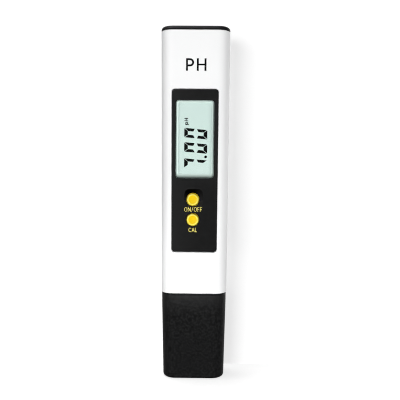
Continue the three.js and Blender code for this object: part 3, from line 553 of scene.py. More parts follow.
def flat_letters(name, contours, y_front, depth, material, matrix=None):
    """Closed outlines in XZ, filled and given a small thickness behind y_front."""
    cu = bpy.data.curves.new(name, "CURVE")
    cu.dimensions = "2D"
    cu.fill_mode = "BOTH"
    cu.extrude = depth / 2 * MM
    for pts in contours:
        sp = cu.splines.new("POLY")
        sp.points.add(len(pts) - 1)
        for p, (x, z) in zip(sp.points, pts):
            p.co = (x * MM, z * MM, 0.0, 1.0)
        sp.use_cyclic_u = True
    tmp = bpy.data.objects.new(name + "_outline", cu)
    bpy.context.scene.collection.objects.link(tmp)
    dg = bpy.context.evaluated_depsgraph_get()
    dg.update()
    me = bpy.data.meshes.new_from_object(tmp.evaluated_get(dg), depsgraph=dg)
    me.transform(Matrix.Translation((0, (y_front + depth / 2) * MM, 0)) @ Matrix.Rotation(math.pi / 2, 4, "X"))
    if matrix is not None:
        me.transform(matrix)
    bpy.data.objects.remove(tmp, do_unlink=True)
    bpy.data.curves.remove(cu)
    obj = bpy.data.objects.new(name, me)
    me.name = name
    bpy.context.scene.collection.objects.link(obj)
    me.materials.clear()
    me.materials.append(M[material])
    tidy(obj)
    shade(obj, 30.0, weighted=False)
    return obj


def place(obj, body, *nodes, slot=None):
    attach(obj, body)
    if nodes:
        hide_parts(*nodes)
    return obj


# -------------------------------------------------------------------- camera

F_PX = 50 / 36 * 400


def camera():
    cam = bpy.data.cameras.new("camera")
    cam.lens = 50.31
    cam.sensor_width = 36
    cam.clip_start = 0.01
    cam.clip_end = 20
    obj = bpy.data.objects.new("camera", cam)
    bpy.context.scene.collection.objects.link(obj)
    bpy.context.scene.camera = obj
    pos = Vector((4.47, -252.65, 92.58))
    target = Vector((2.456, -8.25, 79.996))
    fwd = (target - pos).normalized()
    right = fwd.cross(Vector((0, 0, 1))).normalized()
    up = right.cross(fwd)
    roll = math.radians(0.48)
    r = right * math.cos(roll) + up * math.sin(roll)
    u = up * math.cos(roll) - right * math.sin(roll)
    m = Matrix((r, u, -fwd)).transposed().to_4x4()
    m.translation = pos * MM
    obj.matrix_world = m
    return obj


camera()

# --------------------------------------------------------------- stage, light


def area(name, loc, target, size, power, colour=(1, 1, 1), shape="RECTANGLE", size_y=None):
    la = bpy.data.lights.new(name, "AREA")
    la.shape = shape
    la.size = size
    la.size_y = size_y or size
    la.energy = power
    la.color = colour
    obj = bpy.data.objects.new(name, la)
    bpy.context.scene.collection.objects.link(obj)
    obj.location = loc
    d = Vector(target) - Vector(loc)
    obj.rotation_mode = "QUATERNION"
    obj.rotation_quaternion = d.to_track_quat("-Z", "Y")
    return obj


def stage_plane(name, corners, diffuse, glow, along="Z", one_sided=False):
    me = bpy.data.meshes.new(name)
    me.from_pydata(corners, [], [tuple(range(len(corners)))])
    obj = bpy.data.objects.new(name, me)
    bpy.context.scene.collection.objects.link(obj)
    n = Nodes(name)
    p = n.add("ShaderNodeBsdfDiffuse")
    p.inputs["Color"].default_value = (diffuse, diffuse, diffuse, 1)
    e = n.add("ShaderNodeEmission")
    t = n.add("ShaderNodeTexCoord")
    if isinstance(glow, (int, float)):
        glow = [(0.0, glow), (1.0, glow)]
    # a curtain lit a little more along its foot, and both fade to white away from the meter
    xyz = n.add("ShaderNodeSeparateXYZ")
    n.link(t.outputs["Object"], xyz.inputs["Vector"])
    z0, z1 = glow[0][0], glow[-1][0]
    near = n.ramp(n.range(xyz.outputs[along], z0, z1, 0.0, 1.0), [((z - z0) / (z1 - z0), (g, g, g)) for z, g in glow])
    flat = n.add("ShaderNodeCombineXYZ")
    n.link(xyz.outputs["X"], flat.inputs["X"])
    n.link(xyz.outputs["Y"], flat.inputs["Y"])
    far = n.add("ShaderNodeVectorMath", operation="LENGTH")
    n.link(flat.outputs["Vector"], far.inputs[0])
    mix = n.add("ShaderNodeMix", data_type="RGBA")
    n.link(n.range(far.outputs["Value"], 0.040, 0.13, 0.0, 1.0), mix.inputs[0])
    n.link(near, mix.inputs[6])
    mix.inputs[7].default_value = (1, 1, 1, 1)
    n.link(mix.outputs[2], e.inputs["Color"])
    a = n.add("ShaderNodeAddShader")
    n.link(p.outputs["BSDF"], a.inputs[0])
    n.link(e.outputs["Emission"], a.inputs[1])
    last = a.outputs["Shader"]
    if one_sided:
        g = n.add("ShaderNodeNewGeometry")
        lp = n.add("ShaderNodeLightPath")
        either = n.add("ShaderNodeMath", operation="MAXIMUM")
        n.link(g.outputs["Backfacing"], either.inputs[0])
        n.link(lp.outputs["Is Shadow Ray"], either.inputs[1])
        t = n.add("ShaderNodeBsdfTransparent")
        mix = n.add("ShaderNodeMixShader")
        n.link(either.outputs["Value"], mix.inputs[0])
        n.link(last, mix.inputs[1])
        n.link(t.outputs["BSDF"], mix.inputs[2])
        last = mix.outputs["Shader"]
    n.link(last, n.out.inputs["Surface"])
    me.materials.append(n.mat)
    return obj


def stage_and_light():
    floor = stage_plane("floor", [(-1.2, -1.2, -2e-5), (1.2, -1.2, -2e-5), (1.2, 1.2, -2e-5), (-1.2, 1.2, -2e-5)],
                        0.62, [(-0.020, 0.760), (-0.006, 0.775), (0.003, 0.715), (0.0127, 0.630)], along="Y",
                        one_sided=True)
    # close behind the back, so that the side of the meter throws its soft shadow there
    y = (HALF_DEPTH + 4.4) * MM
    wall = stage_plane("backdrop", [(-0.8, y, 0.0), (0.8, y, 0.0), (0.8, y, 0.7), (-0.8, y, 0.7)],
                       0.46, [(0.0, 0.76), (0.012, 0.75), (0.035, 0.740), (0.060, 0.650)], one_sided=True)
    for obj in (floor, wall):
        obj.visible_diffuse = False
        obj.visible_glossy = False
        obj.visible_shadow = False
    c = (0, 0, 0.085)
    key = area("key", (-0.385, -0.67, 0.19), c, 0.52, 3.40)
    key.visible_glossy = False
    fills = [area("low_right_fill", (0.31, -0.45, -0.26), c, 0.35, 3.0),
             area("low_left_fill", (-0.34, -0.56, -0.26), c, 0.40, 1.15)]
    low = bpy.data.lights.new("low_left_spot", "SPOT")
    low.energy = 2.7
    low.spot_size = math.radians(6.0)
    low.spot_blend = 1.0
    low.shadow_soft_size = 0.02
    spot = bpy.data.objects.new("low_left_spot", low)
    bpy.context.scene.collection.objects.link(spot)
    spot.location = (-0.50, -0.32, 0.02)
    d = Vector((-0.010, -0.006, 0.048)) - spot.location
    spot.rotation_mode = "QUATERNION"
    spot.rotation_quaternion = d.to_track_quat("-Z", "Y")
    fills.append(spot)
    gloss = area("gloss_card", (-0.30, -0.40, 0.72), c, 0.40, 3.2)
    gloss.visible_diffuse = False
    side = area("right_edge", (0.55, 0.45, 0.15), c, 0.35, 0.95)
    top = area("top", (0.0, 0.05, 0.80), c, 0.30, 0.6)
    back = area("back", (0.0, 0.95, 0.30), c, 0.50, 6.0)
    # twin of the key for the backdrop alone, so that the shadow there has its full depth
    on_stage = bpy.data.collections.new("backdrop_only")
    on_stage.objects.link(wall)
    twin = area("key_on_backdrop", (-0.43, -0.67, 0.20), c, 0.62, 4.1)
    twin.visible_glossy = False
    twin.light_linking.receiver_collection = on_stage
    # the floor has one small light of its own, high and a little behind on the left
    on_floor = bpy.data.collections.new("floor_only")
    on_floor.objects.link(floor)
    above = area("key_on_floor", (-0.068, 0.020, 0.80), (0, 0, 0), 0.14, 2.9)
    above.visible_glossy = False
    above.light_linking.receiver_collection = on_floor
    off_floor = bpy.data.collections.new("left_off_floor")
    off_floor.objects.link(floor)
    for link in off_floor.collection_objects:
        link.light_linking.link_state = "EXCLUDE"
    for lamp in (key, gloss, side, top, back):
        lamp.light_linking.receiver_collection = off_floor
    # the fills have no glare, and don't reach the backdrop, which shows only the shadow of the key
    left_out = bpy.data.collections.new("left_out_of_fill")
    for obj in (floor, wall):
        left_out.objects.link(obj)
    for link in left_out.collection_objects:
        link.light_linking.link_state = "EXCLUDE"
    for fill in fills:
        fill.light_linking.receiver_collection = left_out
        fill.visible_glossy = False
        fill.data.cycles.use_multiple_importance_sampling = False
    world = bpy.data.worlds.new("studio")
    bpy.context.scene.world = world
    world.use_nodes = True
    t = world.node_tree
    t.nodes.clear()
    out = t.nodes.new("ShaderNodeOutputWorld")
    seen = t.nodes.new("ShaderNodeBackground")
    seen.inputs["Color"].default_value = (1, 1, 1, 1)
    seen.inputs["Strength"].default_value = 1.0
    lit = t.nodes.new("ShaderNodeBackground")
    lit.inputs["Color"].default_value = (1, 1, 1, 1)
    # dimmer at the sides and below, brighter behind and overhead
    way = t.nodes.new("ShaderNodeTexCoord")
    xyz = t.nodes.new("ShaderNodeSeparateXYZ")
    t.links.new(way.outputs["Generated"], xyz.inputs["Vector"])

    def curve(socket, points):
        m = t.nodes.new("ShaderNodeMapRange")
        m.inputs["From Min"].default_value = -1.0
        t.links.new(socket, m.inputs["Value"])
        r = t.nodes.new("ShaderNodeValToRGB")
        e = r.color_ramp.elements
        while len(e) < len(points):
            e.new(0.5)
        for el, (pos, v) in zip(e, points):
            el.position = (pos + 1) / 2
            el.color = (v, v, v, 1)
        t.links.new(m.outputs["Result"], r.inputs["Fac"])
        return r.outputs["Color"]

    along = curve(xyz.outputs["Y"], [(-1.0, 0.18), (-0.25, 0.095), (0.25, 0.14), (0.7, 0.38), (1.0, 0.38)])
    up = curve(xyz.outputs["Z"], [(-1.0, 0.20), (-0.45, 0.50), (-0.10, 0.95), (0.3, 1.0), (1.0, 1.0)])
    both = t.nodes.new("ShaderNodeMath")
    both.operation = "MULTIPLY"
    t.links.new(along, both.inputs[0])
    t.links.new(up, both.inputs[1])
    t.links.new(both.outputs["Value"], lit.inputs["Strength"])
    lp = t.nodes.new("ShaderNodeLightPath")
    mix = t.nodes.new("ShaderNodeMixShader")
    t.links.new(lp.outputs["Is Camera Ray"], mix.inputs[0])
    t.links.new(lit.outputs["Background"], mix.inputs[1])
    t.links.new(seen.outputs["Background"], mix.inputs[2])
    t.links.new(mix.outputs["Shader"], out.inputs["Surface"])
    scene = bpy.context.scene
    scene.view_settings.view_transform = "Standard"
    scene.view_settings.look = "None"
    scene.cycles.use_denoising = True
    scene.cycles.filter_width = 1.1
    scene.cycles.max_bounces = 10
    scene.cycles.transparent_max_bounces = 12
    scene.cycles.caustics_refractive = False
    scene.cycles.caustics_reflective = False


stage_and_light()

# ------------------------------------------------------------------- housing


def housing():
    z0, z1 = HOUSING_Z
    rings = []
    for z, inset in fillet(0.30, 5, z0, 1):
        rings.append(ring(z, housing_hw(z), HALF_DEPTH, PLAN_R, inset))
    for i in range(1, 24):
        z = lerp(z0 + 0.30, z1 - 0.25, i / 24)
        rings.append(ring(z, housing_hw(z), HALF_DEPTH, PLAN_R))
    for z, inset in reversed(fillet(0.25, 5, z1, -1)):
        rings.append(ring(z, housing_hw(z), HALF_DEPTH, PLAN_R, inset))
    inner = []
    for z, extra in ((z1, 0.25), (z1 - 0.25, 0.0), (lerp(z0, z1, 0.5), 0.0), (z0 + 0.3, 0.0), (z0, 0.25)):
        inner.append(ring(z, housing_hw(z) - WALL + extra, HALF_DEPTH - WALL + extra, PLAN_R - WALL + extra))
    verts, faces = loft(rings + inner, closed=True)
    obj = mesh("housing_shell", verts, faces, "white", weighted=False)

    # pocket for the panel, with a softened edge
    steps = [(-HALF_DEPTH - 0.8, 0.62), (-HALF_DEPTH - 0.02, 0.30), (-HALF_DEPTH + 0.05, 0.235), (-HALF_DEPTH + 0.14, 0.18),
             (-HALF_DEPTH + 0.28, 0.15), (-HALF_DEPTH + 1.04, 0.15)]
    rings = [[(x, y, z) for x, z in plate_outline(*PANEL_Z, *PANEL_HW, 1.3, off)] for y, off in steps]
    verts, faces = loft(rings)
    pocket = mesh("pocket", verts, faces, "white", weighted=False)
    rings = [[(x, y, z) for x, z in plate_outline(WINDOW_Z[0] - 1, WINDOW_Z[1] + 1, WINDOW_HW + 0.5, WINDOW_HW + 0.5, 1.5)]
             for y in (-HALF_DEPTH, -5.9)]
    verts, faces = loft(rings)
    window = mesh("window_cut", verts, faces, "white", weighted=False)
    holes = [rod("button_cut", 3.65, (BUTTON_X, -HALF_DEPTH, z), (BUTTON_X, -5.9, z)) for z in BUTTON_Z.values()]
    cut(obj, pocket, window, *holes)
    tidy(obj)
    shade(obj, 28.0)
    return place(obj, SHELL, "housing", slot="housing_white")


# --------------------------------------------------------------- front panel


def panel():
    back = -HALF_DEPTH + 1.0
    front = -HALF_DEPTH
    radius = 0.55
    rings = [[(x, back, z) for x, z in plate_outline(*PANEL_Z, *PANEL_HW, 1.3, -0.1)],
             [(x, back - 0.1, z) for x, z in plate_outline(*PANEL_Z, *PANEL_HW, 1.3, 0.0)]]
    for i in range(7):
        a = math.pi / 2 * i / 6
        y = front + radius * (1 - math.sin(a))
        off = -radius * (1 - math.cos(a))
        rings.append([(x, y, z) for x, z in plate_outline(*PANEL_Z, *PANEL_HW, 1.3, off)])
    verts, faces = loft(rings)
    obj = mesh("display_panel", verts, faces, "panel", weighted=False)

    def opening(name, make, flare=0.16):
        steps = [(front - 0.5, flare + 0.5), (front, flare), (front + flare * 0.3, flare * 0.3), (front + flare, 0.0), (back + 0.5, 0.0)]
        rings = [[(x, y, z) for x, z in make(off)] for y, off in steps]
        v, f = loft(rings)
        return mesh(name, v, f, "panel", weighted=False)

    tools = [opening("window_tool", lambda off: plate_outline(*WINDOW_Z, WINDOW_HW, WINDOW_HW, 1.1, off), 0.14)]
    # finger scoop: steep under its flat upper lip, running out below
    n = 96
    rows = [1.0, 0.985, 0.965, 0.94, 0.91, 0.88, 0.84, 0.79, 0.73, 0.66, 0.56, 0.44, 0.3, 0.15]
    pts, f = [], []
    for rho in [1.0] + rows:
        top = len(pts) == 0
        for i in range(n):
            a = 2 * math.pi * i / n
            ca, sa = math.cos(a), math.sin(a)
            square = 2.0 + 2.2 * max(0.0, sa) ** 0.6
            r = rho * (abs(ca) ** square + abs(sa) ** square) ** (-1 / square)
            power = 1.7 + 7.0 * max(0.0, sa) ** 1.2
            h = SCOOP_UP if sa > 0 else SCOOP_LOW
            d = -0.6 if top else SCOOP_DEPTH * (1 - rho ** power)
            pts.append((SCOOP_X + SCOOP_HW * r * ca, front + d, SCOOP_Z + h * r * sa))
    for k in range(len(rows)):
        for i in range(n):
            j = (i + 1) % n
            f.append((k * n + i, k * n + j, (k + 1) * n + j, (k + 1) * n + i))
    f.append(tuple(reversed(range(n))))
    f.append(tuple(range(len(rows) * n, (len(rows) + 1) * n)))
    tools.append(mesh("scoop_tool", pts, f, "panel", weighted=False))
    for z in BUTTON_Z.values():
        tools.append(opening("button_tool", lambda off, z=z: [
            (BUTTON_X + (BUTTON_R + 0.16 + off) * math.cos(a), z + (BUTTON_R + 0.16 + off) * math.sin(a))
            for a in [2 * math.pi * i / 64 for i in range(64)]], 0.12))
    cut(obj, *tools)
    tidy(obj)
    shade(obj, 24.0)
    # the upper part of the scoop has a finish of its own, with a low specular level and painted shade
    obj.data.materials.append(M["recess"])
    for face in obj.data.polygons:
        x, y, z = (v / MM for v in face.center)
        if z > SCOOP_Z - 0.4 and y > front + 0.004 and face.normal.y < -0.15:
            ex = abs(x - SCOOP_X) / SCOOP_HW
            ez = (z - SCOOP_Z) / SCOOP_UP
            if ex ** 4 + max(0.0, ez) ** 4 < 1.01 and math.hypot(x - BUTTON_X, z - BUTTON_Z["power"]) > BUTTON_R + 0.17:
                face.material_index = 1
    return place(obj, SHELL, "front_panel", slot="panel_black")


# --------------------------------------------------------------- display area


def window():
    """Clear pillow-edged window with a milky moulded edge, and the cell behind it."""
    z0, z1 = WINDOW_Z[0] + 0.1, WINDOW_Z[1] - 0.1
    hw = WINDOW_HW - 0.1
    front, back = -8.0, -7.25
    n = 8
    # the lower edge is rounded more than the others
    rings = [[(x, back, z) for x, z in plate_outline(z0, z1, hw, hw, 1.0, 0.0, n)],
             [(x, back - 0.04, z) for x, z in plate_outline(z0, z1, hw, hw, 1.0, 0.0, n)]]
    for i in range(9):
        a = math.pi / 2 * i / 8
        y = back - 0.05 + (front - back + 0.05) * math.sin(a)
        k = 1 - math.cos(a)
        rings.append([(x, y, z) for x, z in plate_outline(z0 + 1.9 * k, z1 - 0.9 * k, hw - 0.9 * k, hw - 0.9 * k,
                                                          1.0 - 0.5 * k, 0.0, n)])
    verts, faces = loft(rings)
    lens = mesh("clear_window", verts, faces, "lens", 60.0)
    lens.data.materials.append(M["rim"])
    for f in lens.data.polygons:
        f.material_index = 0 if abs(f.normal.y) > 0.9995 else 1
    place(lens, SHELL, "display_lens", slot="clear_window")

    # liquid-crystal cell: two glasses with a ground edge
    for name, node, y_f, y_b, half in (("cell_front", "lcd_front_glass", -6.4, -5.37, 10.1),
                                       ("cell_rear", "lcd_rear_glass", -5.35, -4.25, 9.2)):
        b = 0.12
        rings = [[(x, y, z) for x, z in plate_outline(87.3 + o, 125.5 - o, half - o, half - o, 0.25)]
                 for y, o in ((y_b, b), (y_b - b, 0.0), (y_f + b, 0.0), (y_f, b))]
        verts, faces = loft(rings)
        cell = mesh(name, verts, faces, "lcd", 30.0)
        place(cell, SHELL, node, slot="lcd_face")


# seven-segment digits, read with the meter turned on its side: text runs up
# the pen (+Z) and the tops of the digits point to -X

LCD_RIGHT = 5.40       # x of the foot of the digits
DIGIT_H = 10.10
DIGIT_W = 4.12
SEG_T = 1.27
SEG_TV = 1.60
SLANT = 0.092


def digit(chars_on, u0):
    w, h, g, m = DIGIT_W, DIGIT_H, 0.16, 0.46
    tv, th = SEG_TV, SEG_T
    seg = {
        "a": [(g, h), (w - g, h), (w - th - g * 0.2, h - tv), (th + g * 0.2, h - tv)],
        "d": [(g, 0), (w - g, 0), (w - th - g * 0.2, tv), (th + g * 0.2, tv)],
        "b": [(w, h - g), (w, h / 2 + m), (w - th, h / 2 + m + 0.62), (w - th, h - tv - g)],
        "c": [(w, g), (w, h / 2 - m), (w - th, h / 2 - m - 0.62), (w - th, tv + g)],
        "f": [(0, h - g), (0, h / 2 + m), (th, h / 2 + m + 0.62), (th, h - tv - g)],
        "e": [(0, g), (0, h / 2 - m), (th, h / 2 - m - 0.62), (th, tv + g)],
    }
    out = []
    for c in chars_on:
        out.append([to_panel(u0 + u + SLANT * (v - h / 2), v) for u, v in round_corners(seg[c], 0.16)])
    return out


def to_panel(u, v):
    return (LCD_RIGHT - v, u)


def round_corners(pts, r, n=3):
    """Each corner of a polygon softened by a short curve."""
    out = []
    count = len(pts)
    for i in range(count):
        p = Vector(pts[i])
        a = Vector(pts[i - 1]) - p
        b = Vector(pts[(i + 1) % count]) - p
        k = min(r, a.length * 0.4, b.length * 0.4)
        s, e = p + a.normalized() * k, p + b.normalized() * k
        for j in range(n + 1):
            t = j / n
            q = s * (1 - t) ** 2 + p * 2 * t * (1 - t) + e * t ** 2
            out.append((q.x, q.y))
    return out


def circle(cx, cz, r, n=28):
    return [(cx + r * math.cos(2 * math.pi * i / n), cz + r * math.sin(2 * math.pi * i / n)) for i in range(n)]


def display_reading():
    y = -6.43
    shapes = []
    shapes += digit("abc", 93.64)
    shapes += digit("abcdef", 100.69)
    shapes += digit("abcdef", 106.95)
    reading = flat_letters("display_digits", shapes, y, 0.05, "segment")
    place(reading, SHELL, slot="lcd_face")
    small = [circle(4.76, 98.89, 0.60)]
    # unit beside the reading
    small += unit_mark(112.72)
    mark = flat_letters("display_unit", small, y, 0.05, "segment")
    place(mark, SHELL, slot="lcd_face")


def unit_mark(u0):
    """Small lower-case p and capital H, in the same direction as the digits."""
    s = 0.36
    base = -3.08
    out = []

    def put(pts):
        return [(base - v, u) for u, v in pts]

    # p: a ring joined to its stem
    r = 0.60
    cx, cy = u0 + 0.78, 0.60
    a0 = math.degrees(math.acos((0.48) / r))
    ring_pts = [(cx + r * math.cos(math.radians(180 - a0 - t)), cy + r * math.sin(math.radians(180 - a0 - t)))
                for t in [(360 - 2 * a0) * i / 24 for i in range(25)]]
    body = [(u0, -0.42), (u0 + s, -0.42)] + list(reversed(ring_pts)) + [(u0 + s, 1.2), (u0, 1.2)]
    out.append(put(body))
    out.append(put([(cx + (r - s) * math.cos(t), cy + (r - s) * math.sin(t)) for t in [2 * math.pi * i / 20 for i in range(20)]]))
    # H
    h0 = u0 + 1.66
    w, h = 1.40, 1.56
    out.append(put([(h0, 0), (h0 + s, 0), (h0 + s, 0.66), (h0 + w - s, 0.66), (h0 + w - s, 0), (h0 + w, 0), (h0 + w, h),
                    (h0 + w - s, h), (h0 + w - s, 0.66 + s), (h0 + s, 0.66 + s), (h0 + s, h), (h0, h)]))
    return out


# ------------------------------------------------------------------ lettering


def glyph(ch, x, z, h, t):
    """Outlines of one block letter, its left edge at x and its foot at z."""
    if ch == "P":
        w, b0 = 0.645 * h, 0.348 * h
        r = (h - b0) / 2
        cx, cz = x + w - r, z + b0 + r
        outer = [(x, z), (x + t, z), (x + t, z + b0)] + arc(cx, cz, r, -90, 90, 20) + [(x, z + h)]
        hole = [(x + t, z + b0 + t)] + arc(cx, cz, r - t, -90, 90, 20) + [(x + t, z + h - t)]
        return [outer, hole], w
    if ch == "H":
        w, c = 0.775 * h, 0.435 * h
        tc = t * 0.86
        return [[(x, z), (x + t, z), (x + t, z + c), (x + w - t, z + c), (x + w - t, z), (x + w, z), (x + w, z + h),
                 (x + w - t, z + h), (x + w - t, z + c + tc), (x + t, z + c + tc), (x + t, z + h), (x, z + h)]], w
    if ch == "O":
        w = 0.70 * h
        n = 32
        o = [(x + w / 2 + w / 2 * math.cos(2 * math.pi * i / n), z + h / 2 + h / 2 * math.sin(2 * math.pi * i / n)) for i in range(n)]
        k = [(x + w / 2 + (w / 2 - t) * math.cos(2 * math.pi * i / n), z + h / 2 + (h / 2 - t) * math.sin(2 * math.pi * i / n)) for i in range(n)]
        return [o, k], w
    if ch == "N":
        w = 0.655 * h
        return [[(x, z), (x + t, z), (x + t, z + h * 0.70), (x + w - t, z), (x + w, z), (x + w, z + h), (x + w - t, z + h),
                 (x + w - t, z + h * 0.30), (x + t, z + h), (x, z + h)]], w
    if ch == "/":
        w = 0.42 * h
        return [[(x, z - 0.06 * h), (x + t, z - 0.06 * h), (x + w, z + 1.04 * h), (x + w - t, z + 1.04 * h)]], w
    if ch == "F":
        w = 0.44 * h
        return [[(x, z), (x + t, z), (x + t, z + 0.42 * h), (x + w * 0.92, z + 0.42 * h), (x + w * 0.92, z + 0.42 * h + t), (x + t, z + 0.42 * h + t),
                 (x + t, z + h - t), (x + w, z + h - t), (x + w, z + h), (x, z + h)]], w
    if ch == "C":
        r = h / 2
        k = 0.80
        a = 48
        outer = [(x + k * (px + r), z + r + pz) for px, pz in arc(0, 0, r, a, 360 - a, 30)]
        inner = [(x + t + (k * r - t) * (1 + math.cos(q)), z + r + (r - t) * math.sin(q))
                 for q in [math.radians(lerp(360 - a, a, i / 30)) for i in range(31)]]
        return [outer + inner], 0.63 * h
    if ch == "A":
        w = 0.74 * h
        m = x + w / 2
        s = t * 1.12
        bar = 0.24 * h

        def left(zz):
            return x + (zz - z) / h * (w / 2 - s / 2)

        ot = [(x, z), (x + s, z), (left(z + bar) + s, z + bar), (2 * m - left(z + bar) - s, z + bar), (x + w - s, z), (x + w, z),
              (m + s / 2, z + h), (m - s / 2, z + h)]
        top = z + h - 1.5 * s
        hole = [(left(z + bar + t) + s, z + bar + t), (2 * m - left(z + bar + t) - s, z + bar + t), (m, top)]
        return [ot, hole], w
    if ch == "L":
        w = 0.42 * h
        return [[(x, z), (x + w, z), (x + w, z + t), (x + t, z + t), (x + t, z + h), (x, z + h)]], w
    raise ValueError(ch)


def word(chars, x, z, h, t, gap, slope=0.0):
    out = []
    for ch in chars:
        contours, w = glyph(ch, x, z, h, t)
        out += [[(px + slope * (pz - z), pz) for px, pz in c] for c in contours]
        x += w + gap
    return out


def lettering():
    # measured quantity, printed on the housing above the display
    pts = glyph("P", -4.07, 135.95, 5.38, 0.84)[0] + glyph("H", 0.60, 135.95, 5.38, 0.84)[0]
    place(flat_letters("quantity_label", pts, -HALF_DEPTH - 0.012, 0.06, "ink"), SHELL, slot="panel_black")
    # printed above and below the second button
    words = word("ON/OFF", -4.44, 74.84, 1.94, 0.205, 0.255)
    words += word("CAL", -2.50, 65.88, 1.86, 0.215, 0.17)
    place(flat_letters("button_labels", words, -HALF_DEPTH - 0.012, 0.06, "label"), SHELL, slot="button_yellow")


# -------------------------------------------------------------------- buttons


def button(kind, body, node):
    z = BUTTON_Z[kind]
    f = -HALF_DEPTH - 0.55
    prof = [(0.0, f + 0.24)]
    for i in range(1, 9):
        r = 1.85 * i / 8
        prof.append((r, f + 0.24 - 0.20 * (r / 1.85) ** 2))
    prof += [(1.96, f + 0.012), (2.06, f + 0.0)]
    for i in range(1, 9):
        a = math.pi / 2 * i / 8
        prof.append((2.06 + 0.54 * math.sin(a), f + 0.60 * (1 - math.cos(a))))
    prof += [(2.60, -HALF_DEPTH + 1.05), (3.2, -HALF_DEPTH + 1.05), (3.3, -HALF_DEPTH + 1.15), (3.3, -HALF_DEPTH + 1.5),
             (3.2, -HALF_DEPTH + 1.6), (1.3, -HALF_DEPTH + 1.6), (1.3, -4.6), (1.2, -4.5), (0.0, -4.5)]
    verts, faces = lathe(prof, 72, "Y", (BUTTON_X, 0, z))
    obj = mesh(f"{kind}_key", verts, faces, "yellow", 35.0)
    # the rounded rim is glossier and a paler yellow; the paler yellow is a painted highlight
    obj.data.materials.append(M["yellow_rim_highlight"])
    for face in obj.data.polygons:
        r = math.hypot(face.center.x / MM - BUTTON_X, face.center.z / MM - z)
        if r > 1.83 and face.center.y / MM < -HALF_DEPTH:
            face.material_index = 1
    return place(obj, body, node, slot="button_yellow")


# ----------------------------------------------------------------------- caps


def battery_cap():
    z0, z1 = CAP_PLATE_Z
    hw = housing_hw(HOUSING_Z[1])
    rings = []
    # skirt, from its inner floor outwards
    si = (13.1 - 1.1, 6.25 - 1.1, 2.5)
    so = (13.1, 6.25, 3.6)
    zb = 149.9
    rings.append(ring(z0, *si))
    rings.append(ring(z0 - 0.2, *si))
    rings.append(ring(zb + 0.15, *si))
    rings.append(ring(zb, si[0] + 0.15, si[1] + 0.15, si[2] + 0.15))
    for z, inset in ((zb, 0.35), (zb + 0.1, 0.15), (zb + 0.4, 0.0), (150.85, 0.0), (150.95, 0.1), (150.95, 0.55), (152.25, 0.55),
                     (152.25, 0.1), (152.35, 0.0), (z0 - 0.1, 0.0), (z0, -0.1)):
        rings.append(ring(z, *so, inset))
    for z, inset in ((z0, 0.2), (z0 + 0.06, 0.06), (z0 + 0.2, 0.0)):
        rings.append(ring(z, hw, HALF_DEPTH, PLAN_R, inset))
    for i in range(13):
        a = math.pi / 2 * i / 12
        rings.append(ring(z1 - 1.42 * (1 - math.sin(a)), hw, HALF_DEPTH, PLAN_R, 1.18 * (1 - math.cos(a))))
    # faint dish on top, so that the flat isn't dead flat
    for k, dz in ((1.6, -0.01), (3.0, -0.05), (4.4, -0.09)):
        rings.append(ring(z1 + dz, hw, HALF_DEPTH, PLAN_R, k))
    verts, faces = loft(rings)
    obj = mesh("battery_lid", verts, faces, "black", 32.0)
    place(obj, LID, "battery_cap", slot="cap_black")

    rings = []
    for i in range(13):
        a = -math.pi / 2 + math.pi * i / 12
        z = 151.6 + 0.6 * math.sin(a)
        rings.append(ring(z, 13.1, 6.25, 3.6, 0.25 - 0.45 * math.cos(a)))
    for z, inset in ((152.2, 0.48), (151.0, 0.48)):
        rings.append(ring(z, 13.1, 6.25, 3.6, inset))
    verts, faces = loft(rings, closed=True)
    seal = mesh("battery_lid_seal", verts, faces, "rubber", 50.0)
    place(seal, LID, "battery_cap_seal", slot="seal_rubber")


def protective_cap():
    rings = []
    n = 16
    for z, inset in fillet(1.3, 9, 0.0, 1):
        rings.append(ring(z, pcap_hw(z), pcap_hd(z), PLAN_R, inset, n))
    for i in range(1, 16):
        z = lerp(1.3, 31.0, i / 16)
        rings.append(ring(z, pcap_hw(z), pcap_hd(z), PLAN_R, 0.0, n))
    # the wall rolls in gently towards the rim
    for i in range(0, 13):
        t = i / 12
        z = lerp(31.0, PCAP_TOP - 0.22, t)
        rings.append(ring(z, pcap_hw(z), pcap_hd(z), PLAN_R, 0.07 * t ** 2.2, n))
    for z, inset in reversed(fillet(0.20, 4, PCAP_TOP, -1)):
        rings.append(ring(z, pcap_hw(z), pcap_hd(z), PLAN_R, inset + 0.07, n))
    r_in = PLAN_R - PCAP_WALL
    w, d = pcap_hw, pcap_hd
    for z, extra in ((PCAP_TOP, 0.30), (PCAP_TOP - 0.3, 0.02), (36.2, 0.0), (36.0, -0.10), (35.6, -0.14), (35.2, -0.10), (35.0, 0.0),
                     (20.0, 0.0), (3.6, 0.0)):
        rings.append(ring(z, w(z) - PCAP_WALL + extra, d(z) - PCAP_WALL + extra, r_in + extra, 0.0, n))
    for i in range(1, 7):
        a = math.pi / 2 * i / 6
        z = 3.6 - 1.7 * math.sin(a)
        rings.append(ring(z, w(z) - PCAP_WALL, d(z) - PCAP_WALL, r_in, 1.7 * (1 - math.cos(a)), n))
    verts, faces = loft(rings)
    obj = mesh("electrode_cap", verts, faces, "cap_black", 34.0)
    place(obj, COVER, "protective_cap", slot="cap_black")

    rings = []
    for z, inset in fillet(0.7, 4, 2.0, 1):
        rings.append(ring(z, 10.6, 4.9, 3.2, inset))
    for z, inset in reversed(fillet(0.8, 5, 5.6, -1)):
        rings.append(ring(z, 10.6, 4.9, 3.2, inset))
    rings.append(ring(5.56, 10.6, 4.9, 3.2, 1.8))
    rings.append(ring(5.50, 10.6, 4.9, 3.2, 2.8))
    verts, faces = loft(rings)
    sponge = mesh("cap_sponge", verts, faces, "foam", 60.0)
    place(sponge, COVER, "storage_sponge", slot="sponge")


# ------------------------------------------------------------------ electrode


